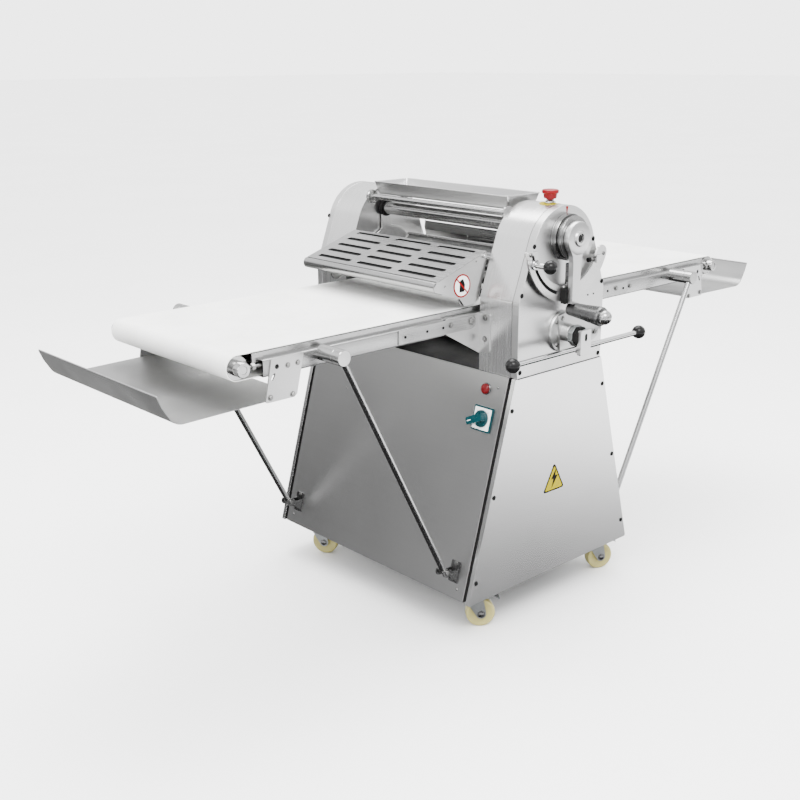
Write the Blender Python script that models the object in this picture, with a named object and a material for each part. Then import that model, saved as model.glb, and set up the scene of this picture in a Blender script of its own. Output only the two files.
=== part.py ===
"""Floor-standing reversible dough sheeter.

X runs along the belts, the operator stands on the -Y side and Z points up.
The origin is on the floor, under the middle of the whole machine.  Pieces are laid out
about the middle of the cabinet and moved back by CABINET_Y at the end.
Lengths are in metres.  Lists of outline points are (x, z), (y, z) or (x, y)
pairs, as each function says.
"""
import math

import bmesh
import bpy
from mathutils import Matrix, Vector

# ---------------------------------------------------------------- driving dimensions
GAP = 0.0003              # running gap between neighbouring pieces
CABINET_Y = 0.0685        # middle of the cabinet, behind the middle of the whole machine
SHEET = 0.0015            # thickness of the cabinet's sheet steel

CABINET_BOTTOM = 0.107
CABINET_TOP = 0.692
CABINET_BOTTOM_HALF = 0.337
CABINET_TOP_HALF = 0.175
CABINET_DEPTH_HALF = 0.404
SIDE_COVER_HALF = 0.380   # half width of the side covers along Y
COVER_FOLD = 0.013        # depth of the covers' folded edges

HEAD_INNER = 0.270        # inner face of each housing, from the middle
HEAD_HALF = 0.170         # half width of the housings along X
HEAD_SHOULDER = 0.890
HEAD_CROWN_Z = 0.997
HEAD_CROWN_R = 0.123
HEAD_WALL = 0.002

BELT_HALF = 0.250
BELT_TOP = 0.8627
BELT_OUTER_R = 0.030
BELT_INNER_R = 0.028
BELT_ROLLER_R = 0.0277
BELT_AXIS_Z = BELT_TOP - BELT_OUTER_R
DRIVE_X = 0.090
TAIL_X = 0.916

SHEETING_R = 0.044
SHEETING_HALF = 0.257
LOWER_Z = 0.818
UPPER_Z = 0.922

FOLD_X, FOLD_Z = 0.206, 0.830       # pivot bolt of each table
RAIL_LOW, RAIL_HIGH = 0.805, 0.845
RAIL_IN, RAIL_OUT = 0.254, 0.2705
INNER_RAIL_OUT = 0.262
BAR_IN, BAR_OUT = 0.270, 0.274
BRACKET_IN, BRACKET_OUT = 0.2665, 0.2695

STRUT_TOP_X = 0.693
STRUT_Y = 0.335
FOOT_X, FOOT_Z = 0.362, 0.195

DIAL_Z = 1.040
SHIFT_Z = 0.792
SHIFT_ROD_Y, SHIFT_ROD_Z = 0.465, 0.757
QUADRANT_IN, QUADRANT_OUT = 0.126, 0.166
STOP_RADIUS, STOP_ANGLE = 0.145, -157.7

GUARD_X, GUARD_Z = 0.152, 0.990     # guard hinge rod
GUARD_HALF = 0.262

TIE_ROD_X, TIE_ROD_Z, TIE_ROD_R = 0.068, 1.0915, 0.008

CASTER_X, CASTER_Y = 0.260, 0.330
CASTER_TRAIL = 0.032
WHEEL_R = 0.040
# direction in which each caster trails, in degrees from +X
CASTER_TURN = {"front_left": -37.0, "front_right": -24.0, "rear_left": -60.0, "rear_right": 48.0}

PULLEY_Y = 0.331
MOTOR_X, MOTOR_Z = 0.040, 0.205

SIDES = {"left": -1, "right": 1}
ENDS = {"front": -1, "rear": 1}

FINISHES = {
    "brushed": ((0.62, 0.62, 0.61), 1.0, 0.34),
    "dull_steel": ((0.46, 0.46, 0.46), 1.0, 0.42),
    "chrome": ((0.80, 0.80, 0.80), 1.0, 0.12),
    "zinc": ((0.58, 0.59, 0.60), 1.0, 0.38),
    "cast": ((0.55, 0.55, 0.54), 0.9, 0.45),
    "black_paint": ((0.02, 0.02, 0.02), 0.0, 0.55),
    "motor_paint": ((0.10, 0.16, 0.22), 0.0, 0.45),
    "belt": ((0.86, 0.86, 0.84), 0.0, 0.62),
    "black_rubber": ((0.025, 0.025, 0.025), 0.0, 0.70),
    "black_knob": ((0.012, 0.012, 0.012), 0.0, 0.18),
    "nylon": ((0.80, 0.76, 0.55), 0.0, 0.45),
    "red": ((0.60, 0.03, 0.03), 0.0, 0.35),
    "grey_plastic": ((0.55, 0.56, 0.56), 0.0, 0.45),
    "white_plastic": ((0.82, 0.83, 0.82), 0.0, 0.40),
    "teal": ((0.00, 0.22, 0.24), 0.0, 0.35),
}

SLOPE = (CABINET_BOTTOM_HALF - CABINET_TOP_HALF) / (CABINET_TOP - CABINET_BOTTOM)
LEAN = math.atan(SLOPE)


# ---------------------------------------------------------------- small geometry helpers
def side_x(z):
    """Half width of the cabinet's outer face at height z."""
    return CABINET_TOP_HALF + (CABINET_TOP - z) * SLOPE


def arc(cx, cz, radius, start, end, steps):
    """Points on a circle from start to end, in degrees."""
    angles = [math.radians(start + (end - start) * i / steps) for i in range(steps + 1)]
    return [(cx + radius * math.cos(a), cz + radius * math.sin(a)) for a in angles]


def mirror(points, sign):
    return [(sign * a, b) for a, b in points]


def hull(points):
    """Convex outline around a list of 2D points."""
    points = sorted(set(points))

    def half(run):
        out = []
        for p in run:
            while len(out) > 1 and ((out[-1][0] - out[-2][0]) * (p[1] - out[-2][1])
                                    - (out[-1][1] - out[-2][1]) * (p[0] - out[-2][0])) <= 0:
                out.pop()
            out.append(p)
        return out[:-1]

    return half(points) + half(points[::-1])


def inset(outline, distances):
    """Move each edge of a counter-clockwise convex outline inwards; edge i starts at point i."""
    moved = []
    count = len(outline)
    for i in range(count):
        a, b = Vector(outline[i]), Vector(outline[(i + 1) % count])
        along = (b - a).normalized()
        moved.append((a + Vector((-along.y, along.x)) * distances[i], along))
    corners = []
    for i in range(count):
        (p, d), (q, e) = moved[i - 1], moved[i]
        cross = d.x * e.y - d.y * e.x
        t = ((q.x - p.x) * e.y - (q.y - p.y) * e.x) / cross
        corners.append((p.x + d.x * t, p.y + d.y * t))
    return corners


# ---------------------------------------------------------------- object helpers
def material(name, finish):
    colour, metallic, roughness = FINISHES[finish]
    mat = bpy.data.materials.new(name)
    mat.use_nodes = True
    shader = mat.node_tree.nodes["Principled BSDF"]
    shader.inputs["Base Color"].default_value = (*colour, 1.0)
    shader.inputs["Metallic"].default_value = metallic
    shader.inputs["Roughness"].default_value = roughness
    return mat


def finish_object(name, bm, finish=None, origin=None):
    """Turn a bmesh into an object; without a finish it is a hidden cutter or joined piece."""
    bmesh.ops.recalc_face_normals(bm, faces=bm.faces)
    mesh = bpy.data.meshes.new(name)
    bm.to_mesh(mesh)
    bm.free()
    mesh.shade_smooth()
    mesh.set_sharp_from_angle(angle=math.radians(35))
    obj = bpy.data.objects.new(name, mesh)
    bpy.context.collection.objects.link(obj)
    if finish:
        mesh.materials.append(material(name, finish))
    else:
        obj.hide_render = True
        obj.display_type = "WIRE"
    if origin:
        move_origin(obj, origin)
    return obj


def move_origin(obj, point):
    """Put an object's origin on its joint axis without moving the shape."""
    obj.data.transform(Matrix.Translation(-Vector(point)))
    obj.location = point


def boolean(obj, tool, operation):
    modifier = obj.modifiers.new(f"{operation.lower()}_{tool.name}", "BOOLEAN")
    modifier.operation = operation
    modifier.solver = "EXACT"
    modifier.object = tool


def join(obj, tools):
    for tool in tools:
        boolean(obj, tool, "UNION")
    return obj


def cut(obj, tools):
    for tool in tools:
        boolean(obj, tool, "DIFFERENCE")
    return obj


def loops_to_bmesh(loops, caps=True):
    """Closed skin through a run of equally long point loops."""
    bm = bmesh.new()
    rings = [[bm.verts.new(p) for p in loop] for loop in loops]
    for low, high in zip(rings, rings[1:]):
        for i in range(len(low)):
            j = (i + 1) % len(low)
            bm.faces.new((low[i], low[j], high[j], high[i]))
    if caps:
        bm.faces.new(rings[0][::-1])
        bm.faces.new(rings[-1])
    return bm


def place(axis, pair, along):
    """Point of a 2D outline, at a distance along the extrusion axis."""
    a, b = pair
    return {"X": (along, a, b), "Y": (a, along, b), "Z": (a, b, along)}[axis]


def prism(name, outline, axis, low, high, finish=None, origin=None):
    loops = [[place(axis, p, d) for p in outline] for d in (low, high)]
    return finish_object(name, loops_to_bmesh(loops), finish, origin)


def box(name, low, high, finish=None, origin=None):
    outline = [(low[0], low[1]), (high[0], low[1]), (high[0], high[1]), (low[0], high[1])]
    return prism(name, outline, "Z", low[2], high[2], finish, origin)


def turned(name, profile, start, direction, sides=24, finish=None, origin=None):
    """Solid of revolution.  profile holds (radius, distance) pairs, where the distance runs
    from start along direction.  It is closed, or starts and ends on the axis."""
    axis = Vector(direction).normalized()
    across = axis.orthogonal().normalized()
    if abs(axis.z) < 0.9:
        across = axis.cross(Vector((0, 0, 1))).normalized()
    other = axis.cross(across)
    bm = bmesh.new()
    rings = []
    for radius, distance in profile:
        centre = Vector(start) + axis * distance
        if radius < 1e-7:
            rings.append([bm.verts.new(centre)])
            continue
        ring = []
        for i in range(sides):
            a = 2 * math.pi * (i + 0.5) / sides
            ring.append(bm.verts.new(centre + (across * math.cos(a) + other * math.sin(a)) * radius))
        rings.append(ring)
    pairs = list(zip(rings, rings[1:]))
    if len(rings[0]) > 1:
        pairs.append((rings[-1], rings[0]))
    for low, high in pairs:
        for i in range(sides):
            j = (i + 1) % sides
            corners = [low[i % len(low)], low[j % len(low)], high[j % len(high)], high[i % len(high)]]
            unique = list(dict.fromkeys(corners))
            if len(unique) > 2:
                bm.faces.new(unique)
    return finish_object(name, bm, finish, origin)


def rod(name, start, end, radius, sides=12, finish=None, origin=None):
    start, end = Vector(start), Vector(end)
    length = (end - start).length
    profile = [(0, 0), (radius, 0), (radius, length), (0, length)]
    return turned(name, profile, start, end - start, sides, finish, origin)


def rod_y(name, x, z, low, high, radius, sides=12, finish=None, origin=None):
    return rod(name, (x, low, z), (x, high, z), radius, sides, finish, origin)


def pan(name, outline, frame, depth, wall, finish):
    """Shallow sheet-metal tray.  outline is convex in the frame's X and Y, its face lies at
    z = 0 and its folded edges run to z = depth."""
    inner = inset(outline, [wall] * len(outline))
    loops = [[(u, v, 0) for u, v in outline], [(u, v, depth) for u, v in outline],
             [(u, v, depth) for u, v in inner], [(u, v, wall) for u, v in inner]]
    bm = loops_to_bmesh(loops)
    bmesh.ops.transform(bm, matrix=frame, verts=bm.verts)
    return finish_object(name, bm, finish)


def frame_of(origin, u, v, w):
    return Matrix((u, v, w)).transposed().to_4x4() @ Matrix() if origin is None else (
        Matrix.Translation(origin) @ Matrix((u, v, w)).transposed().to_4x4())


def side_frame(sign, y=0.0, z=CABINET_BOTTOM):
    """Frame on a side cover: u along -sign*Y, v up the slope, w into the cabinet."""
    u = (0, -sign, 0)
    v = (-sign * math.sin(LEAN), 0, math.cos(LEAN))
    w = (-sign * math.cos(LEAN), 0, -math.sin(LEAN))
    return frame_of((sign * side_x(z), y, z), u, v, w)


# ---------------------------------------------------------------- cabinet
def slanted_box(name, sign, inset_low, inset_high, y_low, y_high, z_low, z_high):
    """Box that leans with a side cover; the insets are measured inwards from its face."""
    loops = []
    for z in (z_low, z_high):
        near, far = sign * (side_x(z) - inset_low), sign * (side_x(z) - inset_high)
        loops.append([(near, y_low, z), (far, y_low, z), (far, y_high, z), (near, y_high, z)])
    return finish_object(name, loops_to_bmesh(loops))


def base_frame():
    """Painted inner frame: bottom plate, caster plates, corner posts, deck and head seats."""
    plate = box("base_frame", (-0.322, -0.388, 0.1085), (0.322, 0.388, 0.1135), "black_paint")
    pieces = [box("frame_deck", (-0.172, -0.388, 0.640), (0.172, 0.388, 0.644))]
    for end, face in ENDS.items():
        low, high = sorted((face * 0.272, face * 0.387))
        pieces.append(box(f"frame_seat_{end}", (-0.160, low, 0.684), (0.160, high, 0.6905)))
        for y in (0.272, 0.383):
            low, high = sorted((face * y, face * (y + 0.004)))
            pieces.append(box(f"frame_web_{end}", (-0.159, low, 0.642), (0.159, high, 0.687)))
        for side, sign in SIDES.items():
            low, high = sorted((face * 0.360, face * 0.3875))
            pieces.append(slanted_box(f"post_{end}_{side}", sign, 0.0135, 0.040, low, high, 0.110, 0.672))
            low, high = sorted((face * 0.3806, face * 0.3904))
            pieces.append(slanted_box(f"seal_{end}_{side}", sign, 0.004, 0.016, low, high, 0.1150, 0.676))
            x, y = sign * CASTER_X, face * CASTER_Y
            pieces.append(box(f"pad_{end}_{side}", (x - 0.035, y - 0.030, 0.104),
                              (x + 0.035, y + 0.030, 0.110)))
    join(plate, pieces)
    return cut(plate, [box("belt_way", (-0.120, 0.300, 0.60), (0.120, 0.365, 0.72))])


def end_cover(name, face):
    """Trapezoid front or rear cover with folded edges."""
    outline = [(-CABINET_BOTTOM_HALF, CABINET_BOTTOM), (CABINET_BOTTOM_HALF, CABINET_BOTTOM),
               (CABINET_TOP_HALF, CABINET_TOP), (-CABINET_TOP_HALF, CABINET_TOP)]
    frame = frame_of((0, face * CABINET_DEPTH_HALF, 0), (1, 0, 0), (0, 0, 1), (0, -face, 0))
    return pan(name, outline, frame, COVER_FOLD, SHEET, "brushed")


def rear_cover_with_gland():
    cover = end_cover("rear_panel", 1)
    start = (0.235, CABINET_DEPTH_HALF - 0.001, 0.165)
    gland = turned("gland", [(0, 0), (0.014, 0), (0.014, 0.006), (0.0105, 0.008), (0.0105, 0.019),
                             (0.0055, 0.019), (0.0055, 0.010), (0, 0.010)], start, (0, 1, 0), 12)
    return join(cover, [gland])


def side_cover(name, sign):
    """Rectangular leaning side cover with folded edges."""
    height = (CABINET_TOP - CABINET_BOTTOM) / math.cos(LEAN)
    outline = [(-SIDE_COVER_HALF, 0.004), (SIDE_COVER_HALF, 0.004),
               (SIDE_COVER_HALF, height), (-SIDE_COVER_HALF, height)]
    return pan(name, outline, side_frame(sign), 0.012, SHEET, "brushed")


def motor():
    start = (MOTOR_X, 0.060, MOTOR_Z)
    body = turned("motor", [(0, 0), (0.050, 0), (0.066, 0.006), (0.068, 0.030), (0.068, 0.195), (0.060, 0.215),
                            (0.028, 0.225), (0.028, 0.235), (0.010, 0.235), (0.010, 0.282), (0, 0.282)],
                  start, (0, 1, 0), 16, "motor_paint")
    feet = box("motor_feet", (MOTOR_X - 0.075, 0.100, 0.114), (MOTOR_X + 0.075, 0.240, 0.150))
    terminals = box("motor_terminals", (MOTOR_X + 0.055, 0.120, 0.175), (MOTOR_X + 0.105, 0.200, 0.245))
    return join(body, [feet, terminals])


def pulley(name, x, z, rim, groove, bore):
    """Grooved pulley for the drive belt, centred on the belt's plane."""
    profile = [(bore, -0.009), (rim, -0.009), (rim, -0.006), (groove, -0.006),
               (groove, 0.006), (rim, 0.006), (rim, 0.009), (bore, 0.009)]
    origin = (x, PULLEY_Y, z)
    return turned(name, profile, origin, (0, 1, 0), 20, "cast", origin)


def belt_loop(name, big, small, thickness, y_low, y_high, finish, origin, steps=16):
    """Open belt round two circles, each given as (x, z, inner radius)."""
    (bx, bz, br), (sx, sz, sr) = big, small
    distance = math.hypot(sx - bx, sz - bz)
    heading = math.degrees(math.atan2(sz - bz, sx - bx))
    wrap = math.degrees(math.acos((br - sr) / distance))

    def outline(extra):
        return (arc(bx, bz, br + extra, heading + wrap, heading + 360 - wrap, steps)
                + arc(sx, sz, sr + extra, heading - wrap, heading + wrap, steps))

    inner, outer = outline(0), outline(thickness)
    loops = [[(x, y_low, z) for x, z in inner], [(x, y_low, z) for x, z in outer],
             [(x, y_high, z) for x, z in outer], [(x, y_high, z) for x, z in inner]]
    bm = loops_to_bmesh(loops + [loops[0]], caps=False)
    bmesh.ops.remove_doubles(bm, verts=bm.verts, dist=1e-6)
    return finish_object(name, bm, finish, origin)


def drive():
    """Motor, its belt and both pulleys; the driven pulley sits on the lower roller's journal."""
    motor()
    pulley("motor_pulley", MOTOR_X, MOTOR_Z, 0.034, 0.026, 0.010 + GAP)
    pulley("driven_pulley", 0, LOWER_Z, 0.075, 0.066, 0.0125 + GAP)
    belt_loop("drive_belt", (0, LOWER_Z, 0.0668), (MOTOR_X, MOTOR_Z, 0.0268), 0.008,
              PULLEY_Y - 0.0055, PULLEY_Y + 0.0055, "black_rubber", None)


def caster(place_name, x, y, turn):
    """Swivel fork with its axle, and the wheel on it."""
    heading = math.radians(turn)
    along = Vector((math.cos(heading), math.sin(heading), 0))
    across = Vector((-math.sin(heading), math.cos(heading), 0))
    frame = Matrix.Translation((x, y, 0)) @ Matrix((along, across, Vector((0, 0, 1)))).transposed().to_4x4()
    hub = turned(f"caster_fork_{place_name}", [(0, 0), (0.020, 0), (0.021, 0.0070), (0.026, 0.0080),
                                               (0.026, 0.0137), (0, 0.0137)], (x, y, 0.090), (0, 0, 1), 14, "zinc")
    leg_outline = hull([(-0.018, 0.0935), (0.034, 0.0935)] + arc(CASTER_TRAIL, WHEEL_R, 0.0115, 180, 360, 6))
    pieces = []
    for v in (-0.0205, 0.0175):
        loops = [[frame @ Vector((s, w, h)) for s, h in leg_outline] for w in (v, v + 0.003)]
        pieces.append(finish_object(f"leg_{place_name}", loops_to_bmesh(loops)))
    crown = [[frame @ Vector((s, w, h)) for s, w in ((-0.017, -0.019), (0.033, -0.019), (0.033, 0.019),
                                                    (-0.017, 0.019))] for h in (0.0912, 0.0945)]
    pieces.append(finish_object(f"crown_{place_name}", loops_to_bmesh(crown)))
    centre = Vector((x, y, WHEEL_R)) + along * CASTER_TRAIL
    pieces.append(turned(f"axle_{place_name}", [(0, -0.024), (0.008, -0.024), (0.008, -0.019), (0.005, -0.019),
                                                (0.005, 0.019), (0.008, 0.019), (0.008, 0.024), (0, 0.024)],
                         centre, across, 10))
    join(hub, pieces)
    move_origin(hub, (x, y, WHEEL_R))
    tread = [(0.0055, -0.015), (0.013, -0.015), (0.014, -0.011), (0.032, -0.013), (0.0375, -0.013),
             (0.040, -0.009)]
    profile = tread + [(r, -d) for r, d in tread[::-1]]
    turned(f"caster_wheel_{place_name}", profile, centre, across, 18, "nylon", tuple(centre))


def casters():
    for end, face in ENDS.items():
        for side, sign in SIDES.items():
            name = f"{end}_{side}"
            caster(name, sign * CASTER_X, face * CASTER_Y, CASTER_TURN[name])


def controls():
    """Rotary switch and pilot lamp on the left cover."""
    slope_frame = side_frame(-1, -0.322, 0.576)
    centre = slope_frame.translation
    outward = -(slope_frame.to_3x3() @ Vector((0, 0, 1)))
    plate = [[slope_frame @ Vector((u, v, w)) for u, v in ((-0.034, -0.033), (0.034, -0.033), (0.034, 0.033),
                                                         (-0.034, 0.033))] for w in (-GAP, -0.006)]
    finish_object("switch_plate", loops_to_bmesh(plate), "white_plastic")
    knob = turned("switch_knob", [(0, 0.0064), (0.023, 0.0064), (0.022, 0.012), (0, 0.012)],
                  centre, outward, 20, "teal")
    bar = Matrix.Rotation(math.radians(47), 4, "Z")
    grip = [[slope_frame @ bar @ Vector((u, v, w)) for u, v in ((-0.020, -0.007), (0.027, -0.005), (0.027, 0.005),
                                                              (-0.020, 0.007))] for w in (-0.010, -0.030)]
    join(knob, [finish_object("knob_grip", loops_to_bmesh(grip))])
    move_origin(knob, centre)
    lamp_centre = side_frame(-1, -0.313, 0.652).translation
    turned("pilot_lamp", [(0, GAP), (0.0145, GAP), (0.0145, 0.004), (0.012, 0.0045), (0.0105, 0.0095),
                          (0.006, 0.012), (0, 0.0125)], lamp_centre, outward, 20, "red")


# ---------------------------------------------------------------- head
def head_outline():
    """Housing profile, counter-clockwise from the bottom left corner."""
    dx, dz = HEAD_HALF, HEAD_SHOULDER - HEAD_CROWN_Z
    reach = math.hypot(dx, dz)
    start = math.degrees(math.atan2(dz, dx) + math.acos(HEAD_CROWN_R / reach))
    bottom = CABINET_TOP + 0.0005
    crown = arc(0, HEAD_CROWN_Z, HEAD_CROWN_R, start, 180 - start, 22)
    return ([(-HEAD_HALF, bottom), (HEAD_HALF, bottom), (HEAD_HALF, HEAD_SHOULDER)]
            + crown + [(-HEAD_HALF, HEAD_SHOULDER)])


def housing(name, face):
    """Sheet-steel housing, open at the bottom, with a bearing hole in its inner wall."""
    outer = head_outline()
    inner = inset(outer, [0.0] + [HEAD_WALL] * (len(outer) - 1))
    y_in, y_out = face * HEAD_INNER, face * CABINET_DEPTH_HALF
    bm = bmesh.new()
    shells = []
    for outline, near, far in ((outer, y_in, y_out), (inner, y_in + face * HEAD_WALL, y_out - face * HEAD_WALL)):
        rings = [[bm.verts.new((x, y, z)) for x, z in outline] for y in (near, far)]
        for ring in rings:
            bm.faces.new(ring)
        for i in range(1, len(outline)):
            j = (i + 1) % len(outline)
            bm.faces.new((rings[0][i], rings[0][j], rings[1][j], rings[1][i]))
        shells.append([rings[0][0], rings[0][1], rings[1][1], rings[1][0]])
    for i in range(4):
        j = (i + 1) % 4
        bm.faces.new((shells[0][i], shells[0][j], shells[1][j], shells[1][i]))
    shell = finish_object(name, bm, "brushed")
    low, high = sorted((face * (HEAD_INNER - 0.01), face * (HEAD_INNER + 0.01)))
    return cut(shell, [rod_y(f"bearing_hole_{name}", 0, LOWER_Z, low, high, 0.014, 16)])


def sheeting_roller(name, z, journals):
    """Steel roller across the head; journals are its rear and front stub lengths."""
    rear, front = journals
    neck = 0.012 if name == "upper_roller" else 0.0125
    half = SHEETING_HALF
    profile = [(0, -front), (neck, -front), (neck, -half), (SHEETING_R, -half), (SHEETING_R, half),
               (neck, half), (neck, rear), (0, rear)]
    return turned(name, profile, (0, 0, z), (0, 1, 0), 28, "chrome", (0, 0, z))


def roller_yoke():
    """End plates that carry the upper roller, tied by a cross shaft with collars."""
    shaft_x, shaft_z = -0.020, 1.055
    shaft = turned("roller_yoke", [(0, -0.2670), (0.024, -0.2670), (0.024, -0.2535), (0.018, -0.2535),
                                   (0.018, 0.2535), (0.024, 0.2535), (0.024, 0.2670), (0, 0.2670)],
                   (shaft_x, 0, shaft_z), (0, 1, 0), 16, "dull_steel", (shaft_x, 0, shaft_z))
    flat = 0.868 - UPPER_Z
    edge = math.degrees(math.asin(flat / 0.080))
    pieces = []
    holes = []
    for end, face in ENDS.items():
        low, high = sorted((face * 0.2597, face * 0.2665))
        pieces.append(prism(f"yoke_plate_{end}", arc(0, UPPER_Z, 0.080, edge, 180 - edge, 20), "Y", low, high))
        arm = [(-0.035, 0.960), (0.006, 0.960), (-0.006, 1.055), (-0.034, 1.055)]
        pieces.append(prism(f"yoke_arm_{end}", arm, "Y", low + 0.0004, high - 0.0004))
        holes.append(rod_y(f"yoke_bore_{end}", 0, UPPER_Z, low - 0.01, high + 0.01, 0.0124, 16))
    join(shaft, pieces)
    return cut(shaft, holes)


def tie_rod(name, sign):
    """Cross rod with a round foot against each housing."""
    end = HEAD_INNER - GAP
    profile = [(0, -end), (0.020, -end), (0.020, -end + 0.006), (TIE_ROD_R, -end + 0.008),
               (TIE_ROD_R, end - 0.008), (0.020, end - 0.006), (0.020, end), (0, end)]
    return turned(name, profile, (sign * TIE_ROD_X, 0, TIE_ROD_Z), (0, 1, 0), 16, "chrome")


def flour_tray():
    outline = [(-0.066, -0.2612), (0.066, -0.2612), (0.066, 0.2612), (-0.066, 0.2612)]
    frame = Matrix.Translation((0, 0, TIE_ROD_Z + TIE_ROD_R + GAP))
    return pan("flour_tray", outline, frame, 0.036, SHEET, "dull_steel")


def emergency_stop():
    top = HEAD_CROWN_Z + HEAD_CROWN_R
    spot = (0, -0.350, top)
    turned("e_stop_base", [(0, GAP), (0.015, GAP), (0.015, 0.004), (0.012, 0.0045), (0.012, 0.0105),
                           (0.0104, 0.0105), (0.0104, 0.0035), (0, 0.0035)], spot, (0, 0, 1), 16, "grey_plastic")
    turned("e_stop_button", [(0, 0.0085), (0.010, 0.0085), (0.010, 0.0150), (0.0155, 0.0155), (0.0165, 0.022),
                             (0.0205, 0.0285), (0.0205, 0.0320), (0.017, 0.0350), (0, 0.0365)],
           spot, (0, 0, 1), 20, "red", spot)


def gap_control():
    """Graduated dial, hand lever, toothed quadrant and its adjustable stop."""
    y = -CABINET_DEPTH_HALF
    hub = (0, y, DIAL_Z)
    out = (0, -1, 0)
    turned("gap_dial", [(0, GAP), (0.060, GAP), (0.060, 0.017), (0.053, 0.018), (0.053, 0.021),
                        (0.056, 0.022), (0.056, 0.030), (0, 0.030)], hub, out, 28, "cast")
    lever = turned("gap_lever", [(0, 0.0305), (0.043, 0.0305), (0.043, 0.046), (0.041, 0.048), (0.015, 0.048),
                                 (0.014, 0.052), (0, 0.0525)], hub, out, 28, "brushed")
    arm = prism("lever_arm", [(-0.023, 1.014), (-0.0195, 0.975), (-0.018, 0.872), (0.013, 0.872),
                              (0.0145, 0.975), (0.020, 1.014)], "Y", y - 0.047, y - 0.032)
    pawl = box("lever_pawl", (-0.0165, y - 0.034, 0.874), (0.0115, y - 0.0180, 0.976))
    grip = turned("lever_grip", [(0, 0.020), (0.018, 0.020), (0.020, 0.024), (0.020, 0.138), (0.021, 0.140),
                                 (0.021, 0.146), (0.015, 0.153), (0, 0.155)], (0, y, 0.855), out, 20)
    join(lever, [arm, pawl, grip])
    move_origin(lever, hub)

    slot_r, slot_half = STOP_RADIUS, 0.0045
    middle = (QUADRANT_OUT + QUADRANT_IN) / 2
    tip = math.radians(-22)
    sector = (arc(0, DIAL_Z, QUADRANT_OUT, -172, -22, 28)
              + arc(middle * math.cos(tip), DIAL_Z + middle * math.sin(tip), 0.020, -2, 138, 6)
              + arc(0, DIAL_Z, QUADRANT_IN, -22, -172, 28))
    quadrant = prism("index_quadrant", sector, "Y", y - 0.016, y - 0.010, "cast")
    pieces = []
    for angle in (-169, -90, -22):
        a = math.radians(angle)
        pieces.append(rod_y(f"quadrant_post_{angle}", 0.153 * math.cos(a), DIAL_Z + 0.153 * math.sin(a),
                            y - 0.0145, y - GAP, 0.007, 12))
    pieces.append(box("stop_lug", (0.098, y - 0.029, 0.9635), (0.118, y - 0.012, 0.9835)))
    pieces.append(rod("stop_bolt", (0.070, y - 0.021, 0.9735), (0.110, y - 0.021, 0.9735), 0.006, 8))
    slot = (arc(0, DIAL_Z, slot_r + slot_half, -164, -107, 14) + arc(0, DIAL_Z, slot_r - slot_half, -107, -164, 14))
    join(quadrant, pieces)
    cut(quadrant, [prism("stop_slot", slot, "Y", y - 0.030, y - 0.002)])

    a = math.radians(STOP_ANGLE)
    ball = [(0.0175 * math.sin(math.radians(t)), 0.066 - 0.0175 * math.cos(math.radians(t)))
            for t in range(24, 180, 26)]
    turned("stop_knob", [(0, 0.0045), (0.0075, 0.0045), (0.0075, 0.0095), (0.0040, 0.0095), (0.0040, 0.0165),
                         (0.008, 0.0165), (0.008, 0.0205), (0.0040, 0.0205)] + ball + [(0, 0.0835)],
           (STOP_RADIUS * math.cos(a), y, DIAL_Z + STOP_RADIUS * math.sin(a)), out, 14, "black_knob", hub)


def shift_control():
    """Flange with its detent plate, and the cross lever that sets the belts' direction."""
    y = -CABINET_DEPTH_HALF
    axis = (0, y, SHIFT_Z)
    flange = turned("shift_flange", [(0, GAP), (0.055, GAP), (0.055, 0.007), (0.052, 0.009), (0.024, 0.009),
                                     (0.024, 0.038), (0, 0.038)], axis, (0, -1, 0), 28, "cast")
    detent = [(-0.020, 0.742), (0.118, 0.752), (0.136, 0.762), (0.136, 0.784), (0.012, 0.846), (-0.030, 0.838)]
    join(flange, [prism("detent_plate", detent, "Y", y - 0.014, y - 0.008)])
    lever = box("shift_lever", (-0.013, y - 0.076, 0.740), (0.028, y - 0.0385, 0.806), "brushed")
    reach = 0.245
    ball_profile = [(0.0185 * math.sin(math.radians(t)), reach + 0.012 - 0.0185 * math.cos(math.radians(t)))
                    for t in range(30, 180, 25)]
    bar = turned("shift_rod", [(0, -reach - 0.0305)] + [(r, -d) for r, d in ball_profile[::-1]]
                 + [(0.007, -reach), (0.007, reach)] + ball_profile + [(0, reach + 0.0305)],
                 (0, -SHIFT_ROD_Y, SHIFT_ROD_Z), (1, 0, 0), 14)
    join(lever, [bar])
    move_origin(lever, axis)


def guard_rod(name, sign):
    rod_y(name, sign * GUARD_X, GUARD_Z, -0.2690, 0.2690, 0.005, 12, "chrome", (sign * GUARD_X, 0, GUARD_Z))


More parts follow.
